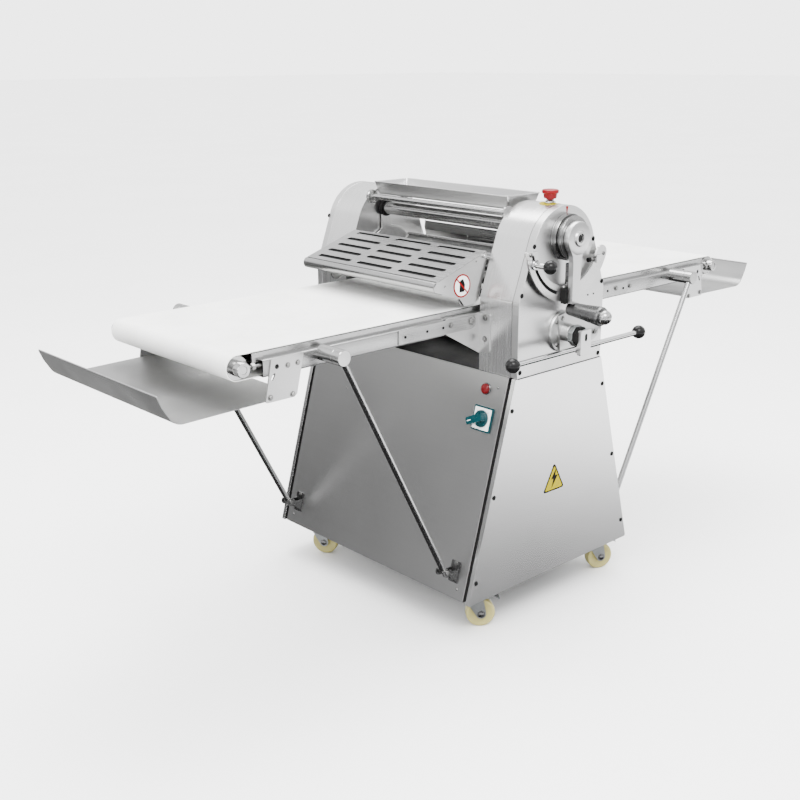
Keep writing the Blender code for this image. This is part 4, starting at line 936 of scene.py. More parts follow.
def quadrant():
    """Toothed index plate on posts, with the stop bolt and the sliding stop knob."""
    y, out = -DEPTH, (0, -1, 0)
    outer = arc(0, DIAL_Z, QUADRANT_OUT, -172, -26, 90)
    teeth = []
    for i, (a, b) in enumerate(arc(0, DIAL_Z, 1.0, -100, -30, 56)):
        radius = QUADRANT_IN if i % 2 == 0 else QUADRANT_IN + 0.0035
        teeth.append((a * radius, DIAL_Z + (b - DIAL_Z) * radius))
    end = arc(*on_dial((QUADRANT_IN + QUADRANT_OUT) / 2, -22), 0.020, -12, 148, 16)
    inner = teeth[::-1] + arc(0, DIAL_Z, QUADRANT_IN, -102, -170, 40)
    sector = outer + end + inner
    low, high, half = -166, -108, 0.0045
    cap_high = arc(*on_dial(STOP_RADIUS, high), half, high, high + 180, 8)
    cap_low = arc(*on_dial(STOP_RADIUS, low), half, low + 180, low + 360, 8)
    slot = (arc(0, DIAL_Z, STOP_RADIUS + half, low + 0.5, high - 0.5, 40) + cap_high
        + arc(0, DIAL_Z, STOP_RADIUS - half, high - 0.5, low + 0.5, 40) + cap_low)
    emit("quadrant_plate", solid(add_plate, sector, [slot], upright(y - 0.010), 0.006), "cast", "base",
        ["index_quadrant"], bevel=0.0005)
    # A black band behind the slot, so the slot reads black: painted shade.
    bm = bmesh.new()
    back = arc(0, DIAL_Z, 0.1525, -168, -106, 40) + arc(0, DIAL_Z, 0.1375, -106, -168, 40)
    add_plate(bm, back, [], upright(y - 0.0088), 0.0010)
    emit("quadrant_slot_painted_shade", bm, "black_paint", "base")
    posts, screws = bmesh.new(), bmesh.new()
    for angle in (-169, -90, -22):
        x, z = on_dial(0.153, angle)
        add_rod(posts, (x, y - 0.0003, z), (x, y - 0.0101, z), 0.007, 32)
        add_socket_screw(screws, (x, y - 0.0160, z), out, 0.0055, height=0.0030)
    emit("quadrant_posts", posts, "turned", "base")
    emit("quadrant_screws", screws, "bolt", "base")
    emit("stop_lug", solid(add_box, (0.098, y - 0.029, 0.9635), (0.118, y - 0.0158, 0.9835)), "cast",
        "base", bevel=0.0008)
    bm = bmesh.new()
    add_rod(bm, (0.0790, y - 0.021, 0.9735), (0.1220, y - 0.021, 0.9735), 0.0035, 24)
    add_turned(bm, rectangle(0, 0, 0.0062, 0.005), (0.0930, y - 0.021, 0.9735), (1, 0, 0), 6)
    emit("stop_bolt", bm, "bolt", "base")
    emit("stop_bolt_tip", solid(add_turned, [(0, 0), (0.0048, 0), (0.0060, 0.0012), (0.0060, 0.0095),
        (0, 0.0095)], (0.0700, y - 0.021, 0.9735), (1, 0, 0), 32), "rubber", "base")
    x, z = on_dial(STOP_RADIUS, STOP_ANGLE)
    foot = (x, y, z)
    emit("stop_stud", solid(add_turned, [(0, 0.0045), (0.0075, 0.0045), (0.0075, 0.0092), (0.0041, 0.0094),
        (0.0041, 0.0164), (0.0125, 0.0164), (0.0130, 0.0172), (0.0130, 0.0205), (0.0120, 0.0216),
        (0.0076, 0.0222), (0.0076, 0.0500), (0, 0.0500)], foot, out, 40), "chrome", "stop_knob_body",
        ["stop_knob"])
    bm = bmesh.new()
    ball = [(0.0175 * math.sin(math.radians(t)), 0.066 - 0.0175 * math.cos(math.radians(t)))
        for t in range(24, 180, 8)]
    add_turned(bm, [(0, ball[0][1]), *ball, (0, 0.0835)], foot, out, 48)
    emit("stop_ball", bm, "black_gloss", "stop_knob_body")


# ---------------------------------------------------------------- shift control
def shift_control():
    """Flange, nut, block and ball-ended rod of the shift lever."""
    y, out, axis = -DEPTH, (0, -1, 0), (0, -DEPTH, SHIFT_Z)
    emit("shift_flange_body", solid(add_turned, [(0, 0.0003), (0.0545, 0.0003), (0.0550, 0.0010),
        (0.0550, 0.0060), (0.0536, 0.0078), (0.0510, 0.0084), (0.0265, 0.0086), (0.0245, 0.0100),
        (0.0240, 0.0120), (0.0240, 0.0370), (0.0230, 0.0380), (0, 0.0380)], axis, out, 72), "cast", "base",
        ["shift_flange"])
    bm = bmesh.new()
    for angle in (48, 138, 228, 318):
        a = math.radians(angle)
        add_socket_screw(bm, (0.0430 * math.cos(a), y - 0.0082, SHIFT_Z + 0.0430 * math.sin(a)), out,
            0.0052)
    emit("shift_flange_screws", bm, "bolt", "base")
    detent = [(-0.020, 0.742), (0.118, 0.752), (0.136, 0.762), (0.136, 0.784), (0.012, 0.846),
        (-0.030, 0.838)]
    outline = rounded(detent, [0.006, 0.014, 0.012, 0.012, 0.010, 0.008], 6)
    hole = arc(0, SHIFT_Z, 0.0242, 0, 352, 44)
    emit("detent_plate", solid(add_plate, outline, [hole], upright(y - 0.0088), 0.0052), "steel_dull",
        "base", bevel=0.0006)
    bm = bmesh.new()
    add_hex_bolt(bm, (-0.014, y - 0.0140, 0.830), out, 0.0050)
    add_hex_bolt(bm, (0.121, y - 0.0140, 0.773), out, 0.0055)
    emit("detent_bolts", bm, "bolt", "base")
    centre = (0.003, y, 0.7875)
    emit("shift_nut", solid(add_turned, [(0, 0.0386), (0.0275, 0.0386), (0.0290, 0.0400), (0.0290, 0.0520),
        (0.0275, 0.0534), (0, 0.0534)], centre, out, 8), "zinc", "shift_lever_body", ["shift_lever"],
        bevel=0.0006)
    emit("shift_nut_front", solid(add_turned, rectangle(0, 0.0530, 0.0262, 0.0655), centre, out, 8),
        "black_paint", "shift_lever_body", bevel=0.0008)
    bm = bmesh.new()
    block = rectangle(-0.013, 0.740, 0.028, 0.806, 0.003, 3)
    pocket = slot_outline(0.0075, 0.786, 0.020, 0.010, 8, 90)
    add_plate(bm, rectangle(-0.004, 0.742, 0.026, 0.772, 0.003, 3), [], upright(y - 0.0500), 0.0140)
    add_plate(bm, block, [], upright(y - 0.0640), 0.0090)
    add_plate(bm, block, [pocket], upright(y - 0.0730), 0.0030)
    emit("shift_block", bm, "steel_face", "shift_lever_body", bevel=0.0008)
    # A black floor in the pocket: painted shade in the recess.
    emit("shift_block_pocket_painted_shade", solid(add_plate, slot_outline(0.0075, 0.786, 0.0196, 0.0096, 8, 90), [],
        upright(y - 0.0731), 0.0008), "black_paint", "shift_lever_body")
    reach = 0.245
    emit("shift_rod", solid(add_rod, (-reach - 0.004, -SHIFT_ROD_Y, SHIFT_ROD_Z),
        (reach + 0.004, -SHIFT_ROD_Y, SHIFT_ROD_Z), 0.007, 40), "chrome", "shift_lever_body")
    for side, sign in SIDES.items():
        bm = bmesh.new()
        ball = [(0.0185 * math.sin(math.radians(t)), 0.012 - 0.0185 * math.cos(math.radians(t)))
            for t in range(30, 180, 8)]
        add_turned(bm, [(0, ball[0][1]), *ball, (0, 0.0305)], (sign * reach, -SHIFT_ROD_Y, SHIFT_ROD_Z),
            (sign, 0, 0), 48)
        emit(f"shift_ball_{side}", bm, "black_gloss", "shift_lever_body")


# ---------------------------------------------------------------- guards
def guards():
    """Both guards and their rods."""
    for side, sign in SIDES.items():
        guard_rod(side, sign)
        guard(side, sign)


def guard_rod(side, sign):
    """Rod that carries a guard, with its ends."""
    body = f"guard_rod_{side}_body"
    emit(f"guard_rod_{side}_bar", solid(add_rod_y, sign * GUARD_X, GUARD_Z, -0.2690, 0.2690, 0.005, 32),
        "chrome", body, [f"guard_rod_{side}"])


def guard(side, sign):
    """Slotted guard with a dark sheet under its slots as painted shade, and its lip, cheeks, rests and hand
    signs.
    """
    body = f"guard_{side}_body"
    run = Vector((0.318 - 0.141, 0.9440 - 1.0022))
    length = run.length
    u = Vector((sign * run.x, 0, run.y)) / length
    v = Vector((0, sign, 0))
    w = u.cross(v)
    place = frame_of(Vector((sign * 0.141, 0, 1.0022)) - w * 0.002, u, v, w)
    outline = [(0, -GUARD_HALF), (length, -GUARD_HALF), (length, GUARD_HALF), (0, GUARD_HALF)]
    holes = []
    for row in range(5):
        for column in (-1, 0, 1):
            holes.append(slot_outline(length * (0.08 + 0.20 * row), column * 0.165, 0.138, 0.0135, 6, 90))
    bm = bmesh.new()
    add_plate(bm, outline, holes, place, 0.002)
    fold = arc(0.3170, 0.9290, 0.0150, 72, -60, 20) + [(0.300, 0.9085)]
    back = [(0.301, 0.9110)] + arc(0.3170, 0.9290, 0.0130, -58, 72, 20)
    add_prism(bm, mirror(fold + back, sign), "Y", -GUARD_HALF, GUARD_HALF)
    emit(f"guard_{side}_plate", bm, "steel_guard", body, [f"guard_{side}"], bevel=0.0004, segments=1)
    # A dark sheet just under the slotted plate, so the slots read black: painted shade.
    bm = bmesh.new()
    painted_shade_sheet = rectangle(0.004, -0.2585, length - 0.003, 0.2585)
    add_plate(bm, painted_shade_sheet, [], place @ Matrix.Translation((0, 0, -0.0022)), 0.0008)
    emit(f"guard_{side}_liner", bm, "rubber", body)
    bm = bmesh.new()
    low, high = sorted((sign * 0.1412, sign * 0.1428))
    add_box(bm, (low, -0.2590, 0.9745), (high, 0.2590, 0.9995))
    emit(f"guard_{side}_lip", bm, "steel_guard", body, bevel=0.0004, segments=1)
    cheek = [(0.142, 1.0014), (0.139, 0.984), (0.168, 0.878), (0.200, 0.8685), (0.220, 0.8685),
        (0.238, 0.890), (0.302, 0.9095), (0.328, 0.920), (0.3305, 0.930), (0.3185, 0.9432)]
    outline = rounded(cheek, [0.002, 0.010, 0.010, 0.006, 0.006, 0.012, 0, 0.010, 0.008, 0.004], 5)
    hinge = arc(GUARD_X, GUARD_Z, 0.0054, 0, 340, 17)
    bm = bmesh.new()
    for face in (-1, 1):
        add_plate(bm, mirror(outline, sign), [mirror(hinge, sign)],
            upright(face * (GUARD_HALF - 0.002), face), 0.002)
    emit(f"guard_{side}_cheeks", bm, "steel_face", body, bevel=0.0004, segments=1)
    bm = bmesh.new()
    for face in (-1, 1):
        for x, z in ((0.1790, 0.9800), (0.2920, 0.9300)):
            add_socket_screw(bm, (sign * x, face * GUARD_HALF, z), (0, face, 0), 0.0028)
        add_turned(bm, [(0, 0.0002), (0.0200, 0.0002), (0.0204, 0.0008), (0.0200, 0.0036), (0, 0.0040)],
            (sign * 0.218, face * 0.2580, 0.8885), (0, -face, 0), 40)
    emit(f"guard_{side}_rests", bm, "turned", body)
    for face in (-1, 1):
        if face > 0 and side == "right":
            continue
        tag = "front" if face < 0 else "rear"
        spot_at = (sign * 0.2300, face * GUARD_HALF, 0.9230)
        emit(f"guard_{side}_{tag}_sign", solid(add_turned, rectangle(0, 0, 0.0300, 0.0005), spot_at,
            (0, face, 0), 40), "white_plastic", body)
        bm = bmesh.new()
        add_turned(bm, rectangle(0.0262, 0.0001, 0.0302, 0.0008), spot_at, (0, face, 0), 56)
        bar = frame_of(Vector(spot_at) + Vector((0, face * 0.0005, 0)), (1, 0, 0), (0, 0, 1), (0, face, 0))
        add_plate(bm, rectangle(-0.0270, -0.0020, 0.0270, 0.0020), [],
            bar @ Matrix.Rotation(math.radians(-45), 4, "Z"), 0.0003)
        emit(f"guard_{side}_{tag}_sign_ring", bm, "red_print", body)
        emit(f"guard_{side}_{tag}_sign_mark", solid(add_plate,
            rounded([(-0.010, -0.016), (0.008, -0.016), (0.011, 0.002), (0.003, 0.018), (-0.008, 0.014)],
            0.002, 3), [], bar, 0.0001), "black_print", body)


def head():
    """Everything on the sheeting head."""
    for end, face in ENDS.items():
        housing(end, face)
    sheeting_rollers()
    roller_yoke()
    tie_rods()
    flour_tray()
    emergency_stop()
    index_mark()
    gap_dial()
    gap_lever()
    quadrant()
    shift_control()
    guards()


# ---------------------------------------------------------------- tables
def table_bracket(side, sign):
    """Bracket that carries a table on the head."""
    name = f"table_bracket_{side}"
    gusset = mirror([(0.1708, 0.738), (0.1708, 0.847), (0.290, 0.847), (0.294, 0.843), (0.294, 0.807)],
        sign)
    hole = arc(sign * FOLD_X, FOLD_Z, 0.0064, 0, 340, 17)
    bm = bmesh.new()
    for face in (-1, 1):
        add_plate(bm, rounded(gusset, [0, 0, 0.004, 0.003, 0.012], 4), [hole], upright(face * 0.2665, face),
            0.003)
        leg = frame_of((sign * 0.1705, 0, 0), (0, face, 0), (0, 0, 1), (sign, 0, 0))
        outline = rectangle(0.2665, 0.743, 0.308, 0.8465, [0, 0.006, 0.006, 0], 4)
        add_plate(bm, outline, [slot_outline(0.292, 0.777, 0.022, 0.0066, 6, 90)], leg, 0.003)
    emit(f"{name}_gussets", bm, "steel_face", "base", [name], bevel=0.0005)
    emit(f"{name}_tie", solid(add_rod_y, sign * 0.225, 0.785, -0.2680, 0.2680, 0.006, 32), "turned", "base")
    bm = bmesh.new()
    for face in (-1, 1):
        for z in (0.836, 0.780):
            add_hex_bolt(bm, (sign * 0.1735, face * 0.292, z), (sign, 0, 0), 0.0060)
    emit(f"{name}_bolts", bm, "bolt", "base")


def table_frame(side, sign):
    """Rails, deck, bars and plates of a table."""
    name, body = f"table_frame_{side}", f"table_{side}"
    near, far = sorted((sign * 0.125, sign * 0.880))
    deck = [(-0.2550, 0.838), (-0.2550, 0.860), (0.2550, 0.860), (0.2550, 0.838), (0.2505, 0.838),
        (0.2505, 0.8575), (-0.2505, 0.8575), (-0.2505, 0.838)]
    emit(f"{name}_deck", solid(add_prism, deck, "X", near, far), "steel_long", body, [name], bevel=0.0006)
    # Black strips along the belt's edges: painted shade of the gap between belt and deck.
    bm = bmesh.new()
    for face in (-1, 1):
        low, high = sorted((face * 0.2504, face * 0.2528))
        add_box(bm, (near, low, 0.8590), (far, high, 0.8609))
    emit(f"{name}_edge_painted_shade", bm, "rubber", body)
    mid = (RAIL_LOW + RAIL_HIGH) / 2
    bm = bmesh.new()
    for face in (-1, 1):
        web, lip = face * RAIL_OUT, face * RAIL_IN
        t = 0.002
        channel = [(lip, RAIL_LOW), (web, RAIL_LOW), (web, RAIL_HIGH), (lip, RAIL_HIGH),
            (lip, RAIL_HIGH - t), (web - face * t, RAIL_HIGH - t), (web - face * t, RAIL_LOW + t),
            (lip, RAIL_LOW + t)]
        add_prism(bm, rounded(channel, [0, 0.0035, 0.0035, 0, 0, 0.0018, 0.0018, 0], 4), "X", sign * 0.302,
            sign * 0.862)
    emit(f"{name}_rails", bm, "steel_long", body, bevel=0.0004, segments=1)
    bm = bmesh.new()
    inner = [(0.310, RAIL_HIGH)] + arc(DRIVE_X, mid, 0.020, 90, 270, 18) + [(0.310, RAIL_LOW)]
    for face in (-1, 1):
        add_plate(bm, mirror(inner, sign), [], upright(face * (RAIL_IN + 0.0003), face),
            INNER_RAIL_OUT - RAIL_IN - 0.0003)
    emit(f"{name}_inner_rails", bm, "steel_long", body, bevel=0.0007)
    bm = bmesh.new()
    bar = arc(FOLD_X, FOLD_Z - 0.003, 0.0175, 90, 270, 18) + [(0.459, 0.8095), (0.459, 0.8445)]
    for face in (-1, 1):
        add_plate(bm, mirror(bar, sign), [], upright(face * 0.2700, face), BAR_OUT - 0.2700)
    emit(f"{name}_bars", bm, "steel_long", body, bevel=0.0007)
    hanger = [(0.751, 0.8453), (0.773, 0.752), (0.781, 0.7455), (0.861, 0.7455), (0.841, 0.8453)]
    outline = mirror(rounded(hanger, [0.004, 0.006, 0.006, 0.005, 0.004], 4), sign)
    holes = [mirror(arc(0.827, 0.825, 0.0058, 0, 340, 17), sign),
        mirror(slot_outline(0.838, 0.803, 0.018, 0.0062, 6, -60), sign)]
    bm = bmesh.new()
    for face in (-1, 1):
        add_plate(bm, outline, holes, upright(face * BAR_IN, face), BAR_OUT - BAR_IN)
    emit(f"{name}_hangers", bm, "steel_face", body, bevel=0.0006)
    bm = bmesh.new()
    screws = bmesh.new()
    for face in (-1, 1):
        out = (0, face, 0)
        plate = face * BAR_OUT
        add_rod_y(bm, sign * FOLD_X, FOLD_Z, *sorted((face * 0.2600, face * 0.2740)), 0.006, 24)
        add_turned(bm, [(0, 0), (0.0100, 0), (0.0100, 0.0044), (0.0088, 0.0052), (0, 0.0052)],
            (sign * FOLD_X, face * 0.2738, FOLD_Z), out, 6)
        extra = (0.281,) if sign < 0 else (0.281, 0.403)
        for x in extra:
            add_hex_bolt(bm, (sign * x, plate, 0.831), out, 0.0058, height=0.0040)
        for x, z in ((0.848, 0.757), (0.786, 0.753)):
            add_hex_bolt(bm, (sign * x, plate, z), out, 0.0052, height=0.0036)
        for x, z in ((0.438, 0.826), (0.364, 0.828), (0.308, 0.828)):
            add_socket_screw(screws, (sign * x, plate, z), out, 0.0036)
        if sign > 0:
            add_hex_bolt(bm, (sign * 0.474, face * RAIL_OUT, 0.828), out, 0.0055, height=0.0040)
        for x, z in ((0.797, 0.823), (0.769, 0.824)):
            add_hex_bolt(bm, (sign * x, plate, z), out, 0.0048, height=0.0030)
        add_turned(screws, rectangle(0, 0, 0.0064, 0.0004), (sign * 0.827, face * RAIL_OUT, 0.825), out, 24)
    emit(f"{name}_bolts", bm, "bolt", body)
    emit(f"{name}_screws", screws, "black_bolt", body)
    bm = bmesh.new()
    for face in (-1, 1):
        end = STRUT_Y - 0.0133
        add_turned(bm, [(0, 0.2685), (0.0192, 0.2685), (0.0192, end - 0.0006), (0.0186, end), (0, end)],
            (sign * STRUT_TOP_X, 0, BELT_AXIS), (0, face, 0), 56)
        add_turned(bm, rectangle(0, end - 0.001, 0.0065, 0.3435), (sign * STRUT_TOP_X, 0, BELT_AXIS),
            (0, face, 0), 32)
    emit(f"{name}_standoffs", bm, "turned", body)
    bm = bmesh.new()
    for face in (-1, 1):
        start = (sign * 0.860, face * 0.262, BELT_AXIS)
        add_turned(bm, [(0, 0), (0.0040, 0), (0.0040, 0.0370), (0.0034, 0.0378), (0, 0.0378)], start,
            (sign, 0, 0), 24)
        add_turned(bm, [(0, 0.0200), (0.0085, 0.0200), (0.0085, 0.0285), (0.0078, 0.0290), (0, 0.0290)],
            start, (sign, 0, 0), 6)
    emit(f"{name}_take_up", bm, "bolt", body)


def belt(side, sign):
    """Endless cloth belt with its lower edge of the fabric showing."""
    bm = bmesh.new()

    def outline(radius):
        points = (arc(DRIVE_X, BELT_AXIS, radius, 90, 270, 32)
            + arc(TAIL_X, BELT_AXIS, radius, 270, 450, 32))
        return mirror(points, sign)

    inner, outer = outline(BELT_R - BELT_THICK), outline(BELT_R)
    soft = outline(BELT_R - 0.0005)
    half = BELT_HALF
    loops = [(inner, -half + 0.0002), (soft, -half), (outer, -half + 0.0006), (outer, half - 0.0006),
        (soft, half), (inner, half - 0.0002)]
    add_skin(bm, [[Vector((x, y, z)) for x, z in points] for points, y in loops], caps=False, closed=True)
    emit(f"belt_{side}_cloth", bm, "belt", f"table_{side}", [f"belt_{side}"])


def belt_rollers(side, sign):
    """Drive and tail rollers of a table."""
    shell = [(ROLLER_R, 0.2480), (0.0270, 0.2488)]
    drive = [(0.0080, 0.2490), (0.0080, 0.2530), (0.0074, 0.2537), (0, 0.2537)]
    tail = [(0.0175, 0.2490), (0.0175, 0.2728), (0.0160, 0.2750), (0.0090, 0.2752), (0.0084, 0.2738),
        (0, 0.2738)]
    for name, x, journal in (("drive", DRIVE_X, drive), ("tail", TAIL_X, tail)):
        emit(f"{name}_roller_{side}_shell", solid(add_turned, both_ends(shell + journal),
            (sign * x, 0, BELT_AXIS), (0, 1, 0), 64), "turned", f"{name}_roller_{side}_body",
            [f"{name}_roller_{side}"])


def catch_tray(side, sign):
    """Tray that hangs under a table."""
    name, body = f"catch_tray_{side}", f"table_{side}"
    top = ([(1.1292, 0.8150), (1.1190, 0.7905), (1.1040, 0.7660)]
        + arc(1.0700, 0.7850, 0.0390, -30, -88, 18) + [(0.865, 0.7495), (0.775, 0.7525)])
    under = ([(0.775, 0.7505), (0.865, 0.7475)] + arc(1.0700, 0.7850, 0.0410, -88, -30, 18)
        + [(1.1208, 0.7895), (1.1310, 0.8143)])
    half = 0.2692
    # The tray's steel is darkened as painted shade of the belt above it.
    emit(f"{name}_sheet", solid(add_prism, mirror(top + under, sign), "Y", -half, half), "steel_tray_painted_shade", body,
        [name], bevel=0.0003, segments=1)
    emit(f"{name}_lip", solid(add_rod, (sign * 1.1290, -half, 0.8152), (sign * 1.1290, half, 0.8152),
        0.0018, 16), "steel_dull", body)
    bm = bmesh.new()
    flange = rounded([(0.776, 0.7500), (0.856, 0.7490), (0.856, 0.7720), (0.776, 0.7720)],
        [0, 0, 0.005, 0.005], 4)
    for face in (-1, 1):
        add_plate(bm, mirror(flange, sign), [], upright(face * (half - 0.0025), face), 0.0025)
    emit(f"{name}_flanges", bm, "steel_tray_painted_shade", body, bevel=0.0004, segments=1)


def strut(name, sign, face):
    """Strut that props a table on the cabinet."""
    body = f"{name}_body"
    top = Vector((sign * STRUT_TOP_X, face * STRUT_Y, BELT_AXIS))
    foot = Vector((sign * FOOT_X, face * STRUT_Y, FOOT_Z))
    way = (foot - top).normalized()
    emit(f"{name}_shank", solid(add_rod, top + way * 0.011, foot, 0.0082, 40), "chrome_strut", body, [name])
    emit(f"{name}_eye", solid(add_turned, [(0, 0.0090), (0.0069, 0.0090), (0.0069, -0.0130),
        (0.0186, -0.0130), (0.0192, -0.0124), (0.0192, 0.0113), (0.0180, 0.0125), (0, 0.0127)], top,
        (0, face, 0), 56), "turned", body)
    bm = bmesh.new()
    add_rod(bm, foot - Vector((0, 0.0165, 0)), foot + Vector((0, 0.0165, 0)), 0.0060, 32)
    add_turned(bm, [(0, -0.0095), (0.0082, -0.0095), (0.0086, -0.0088), (0.0086, 0.0088), (0.0082, 0.0095),
        (0, 0.0095)], foot, (0, 1, 0), 32)
    emit(f"{name}_foot", bm, "bolt", body)


def strut_hook(name, sign, face):
    cover = side_frame(sign, face * STRUT_Y, FOOT_Z)
    local = cover.inverted() @ Vector((sign * FOOT_X, face * STRUT_Y, FOOT_Z))
    pin_t, pin_n = local.y, -local.z
    r = 0.0068
    bowl = arc(pin_n, pin_t, r, 340, 180, 14)
    outer = arc(pin_n, pin_t, 0.0140, 230, 345, 12)
    outline = ([(0.0015, pin_t - 0.026), (0.0080, pin_t - 0.024), (pin_n - 0.016, pin_t - 0.0120)] + outer
        + [(pin_n + 0.0130, pin_t + 0.0050), (pin_n + 0.0085, pin_t + 0.0050)] + bowl
        + [(pin_n - 0.0072, pin_t + 0.0080), (pin_n - 0.0115, pin_t + 0.0080),
        (pin_n - 0.020, pin_t + 0.0010), (0.0080, pin_t + 0.0060), (0.0015, pin_t + 0.0100)])
    bm = bmesh.new()
    out = cover @ frame_of((0, 0, 0), (0, 0, -1), (0, 1, 0), (1, 0, 0))
    for low in (-0.0150, 0.0115):
        add_plate(bm, outline, [], out @ Matrix.Translation((0, 0, low)), 0.0035)
    base = [(-0.0170, pin_t - 0.032), (0.0170, pin_t - 0.032), (0.0170, pin_t + 0.026),
        (-0.0170, pin_t + 0.026)]
    add_plate(bm, rounded(base, 0.003, 3), [], cover @ Matrix.Translation((0, 0, -0.0030)), 0.0027)
    emit(f"{name}_plates", bm, "steel_dark", "base", [name], bevel=0.0006)
    bm = bmesh.new()
    for t in (pin_t + 0.020, pin_t - 0.020):
        centre = cover @ Vector((0, t, -0.0030))
        add_hex_bolt(bm, centre, cover.to_3x3() @ Vector((0, 0, -1)), 0.0046, height=0.0030)
    emit(f"{name}_bolts", bm, "bolt", "base")


def tables():
    """Both belt tables with their struts."""
    for side, sign in SIDES.items():
        table_bracket(side, sign)
        table_frame(side, sign)
        belt(side, sign)
        belt_rollers(side, sign)
        catch_tray(side, sign)
        for end, face in ENDS.items():
            strut(f"strut_{side}_{end}", sign, face)
            strut_hook(f"strut_hook_{side}_{end}", sign, face)


# ---------------------------------------------------------------- hidden inner pieces keep their shape
def inner_pieces():
    """Looks of the inner parts that keep the shape of the CAD."""
    looks = {"base_frame": "black_paint", "motor": "motor_paint", "motor_pulley": "cast",
             "driven_pulley": "cast", "drive_belt": "rubber"}
    for name, look in looks.items():
        frame["nodes"][name].data.materials[0] = MATERIALS[look]


# ---------------------------------------------------------------- floor, light and camera
def floor():
    """Pale floor that catches the shadow."""
    bm = bmesh.new()
    reach = 80.0
    corners = rectangle(-reach, -reach, reach, reach)
    bm.faces.new([bm.verts.new((x, y, 0)) for x, y in corners])
    mesh = bpy.data.meshes.new("floor")
    bm.to_mesh(mesh)
    bm.free()
    mat, tree, shader = new_material("floor")
    cloud = noise(tree, 0.8, 3.0)
    tree.links.new(tint(tree, span(tree, cloud, 0.0, 1.0), (0.90, 0.90, 0.90), (0.93, 0.93, 0.93)),
        shader.inputs["Base Color"])
    shader.inputs["Roughness"].default_value = 0.55
    shader.inputs["Specular IOR Level"].default_value = 0.2
    mesh.materials.append(mat)
    obj = bpy.data.objects.new("floor", mesh)
    obj.visible_glossy = False
    bpy.context.collection.objects.link(obj)


def multiply(tree, a, b):
    """Product of two colours."""
    node = tree.nodes.new("ShaderNodeMix")
    node.data_type = "RGBA"
    node.blend_type = "MULTIPLY"
    node.inputs["Factor"].default_value = 1.0
    tree.links.new(a, node.inputs["A"])
    tree.links.new(b, node.inputs["B"])
    return node.outputs["Result"]


def facing(tree, direction, towards, start, end):
    """How far a direction looks towards another, from 0 to 1 between two cosines."""
    product = tree.nodes.new("ShaderNodeVectorMath")
    product.operation = "DOT_PRODUCT"
    product.inputs[1].default_value = towards
    tree.links.new(direction, product.inputs[0])
    return ranged(tree, product.outputs["Value"], start, end, kind="SMOOTHSTEP")


def glow(tree, strength=1.0, colour=(1, 1, 1, 1)):
    """Background light; returns its node."""
    node = tree.nodes.new("ShaderNodeBackground")
    node.inputs["Strength"].default_value = strength
    node.inputs["Color"].default_value = colour
    return node


def choose(tree, which, first, second):
    """One shader where a value is 0 and another where it is 1."""
    node = tree.nodes.new("ShaderNodeMixShader")
    for value, socket in zip((which, first, second), node.inputs):
        tree.links.new(value, socket)
    return node.outputs["Shader"]


def gradient(tree, height):
    """Grey of the studio by height, as reflections see it."""
    ramp = tree.nodes.new("ShaderNodeValToRGB")
    ramp.color_ramp.interpolation = "EASE"
    ramp.color_ramp.elements[0].position = REFLECTION_STOPS[0][0]
    ramp.color_ramp.elements[1].position = REFLECTION_STOPS[-1][0]
    for place, _ in REFLECTION_STOPS[1:-1]:
        ramp.color_ramp.elements.new(place)
    for element, (_, level) in zip(ramp.color_ramp.elements, REFLECTION_STOPS):
        element.color = (level, level, level * 1.01, 1)
    tree.links.new(ranged(tree, height, -1.0, 1.0), ramp.inputs["Fac"])
    return ramp.outputs["Color"]


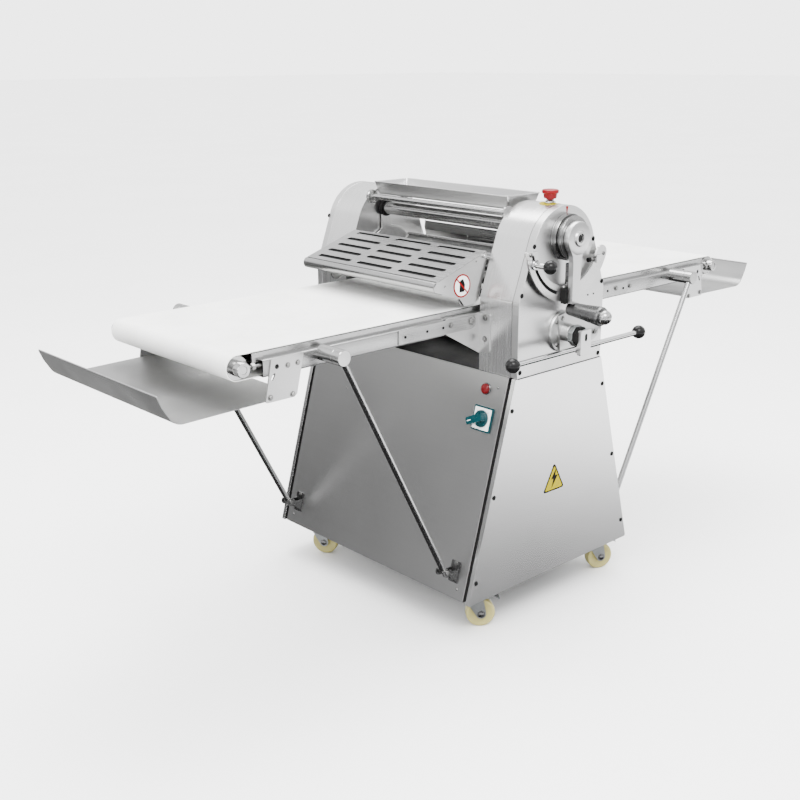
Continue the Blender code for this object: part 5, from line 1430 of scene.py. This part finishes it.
def world():
    """White to the camera, brighter from above for lighting, and a grey gradient in reflections."""
    scenery = bpy.data.worlds.new("studio")
    bpy.context.scene.world = scenery
    scenery.use_nodes = True
    tree = scenery.node_tree
    nodes, links = tree.nodes, tree.links
    nodes.clear()
    sky = nodes.new("ShaderNodeTexCoord").outputs["Generated"]
    split = nodes.new("ShaderNodeSeparateXYZ")
    links.new(sky, split.inputs["Vector"])
    low = tint(tree, facing(tree, sky, (-0.561, 0.800, -0.212), 0.85, 0.975), WHITE, (0.05, 0.05, 0.05))
    high = tint(tree, facing(tree, sky, (0.36, 0.72, 0.60), 0.80, 0.97), WHITE, (0.75, 0.75, 0.75))
    grey = multiply(tree, gradient(tree, split.outputs["Z"]), multiply(tree, low, high))
    lift = nodes.new("ShaderNodeMix")
    lift.data_type = "RGBA"
    lift.inputs["B"].default_value = (0.34, 0.34, 0.34, 1)
    links.new(facing(tree, sky, (0.0, 0.86, -0.51), 0.93, 0.99), lift.inputs["Factor"])
    links.new(grey, lift.inputs["A"])
    glossy, plain, seen = glow(tree, REFLECTION_STRENGTH), glow(tree), glow(tree, CAMERA_STRENGTH)
    links.new(lift.outputs["Result"], glossy.inputs["Color"])
    links.new(ranged(tree, split.outputs["Z"], 0.0, 1.0, LIGHT_BELOW, LIGHT_ABOVE),
        plain.inputs["Strength"])
    path = nodes.new("ShaderNodeLightPath")
    glossy, plain, seen = (node.outputs["Background"] for node in (glossy, plain, seen))
    shader = choose(tree, path.outputs["Is Camera Ray"],
        choose(tree, path.outputs["Is Glossy Ray"], plain, glossy), seen)
    links.new(shader, nodes.new("ShaderNodeOutputWorld").inputs["Surface"])


def area_light(name, place, target, size, power):
    """Rectangular lamp aimed at a point."""
    light = bpy.data.lights.new(name, "AREA")
    light.shape = "RECTANGLE"
    light.size, light.size_y = size
    light.energy = power
    obj = bpy.data.objects.new(name, light)
    bpy.context.collection.objects.link(obj)
    obj.location = place
    obj.rotation_euler = (Vector(target) - Vector(place)).to_track_quat("-Z", "Y").to_euler()


def lights():
    """The three lamps of the studio, aimed at points over the middle of the cabinet."""
    for name, place, aim, size, power in LIGHTS:
        area_light(name, place, (0, 0, aim), size, power)


def camera():
    """Camera at the place, direction and lens of the catalogue view."""
    yaw, pitch, roll = (math.radians(a) for a in (CAMERA_YAW, CAMERA_PITCH, CAMERA_ROLL))
    forward = Vector((math.sin(yaw) * math.cos(pitch), math.cos(yaw) * math.cos(pitch), math.sin(pitch)))
    right = Vector((math.cos(yaw), -math.sin(yaw), 0))
    up = right.cross(forward)
    across = right * math.cos(roll) + up * math.sin(roll)
    upward = -right * math.sin(roll) + up * math.cos(roll)
    data = bpy.data.cameras.new("camera")
    data.sensor_width = SENSOR_WIDTH
    data.lens = FOCAL_LENGTH
    obj = bpy.data.objects.new("camera", data)
    bpy.context.collection.objects.link(obj)
    turn = Matrix((across, upward, -forward)).transposed().to_4x4()
    obj.matrix_world = Matrix.Translation((CAMERA_X, CAMERA_FRONT + CABINET_Y, CAMERA_HEIGHT)) @ turn
    bpy.context.scene.camera = obj


cabinet()
casters()
head()
tables()
inner_pieces()
floor()
world()
lights()
camera()
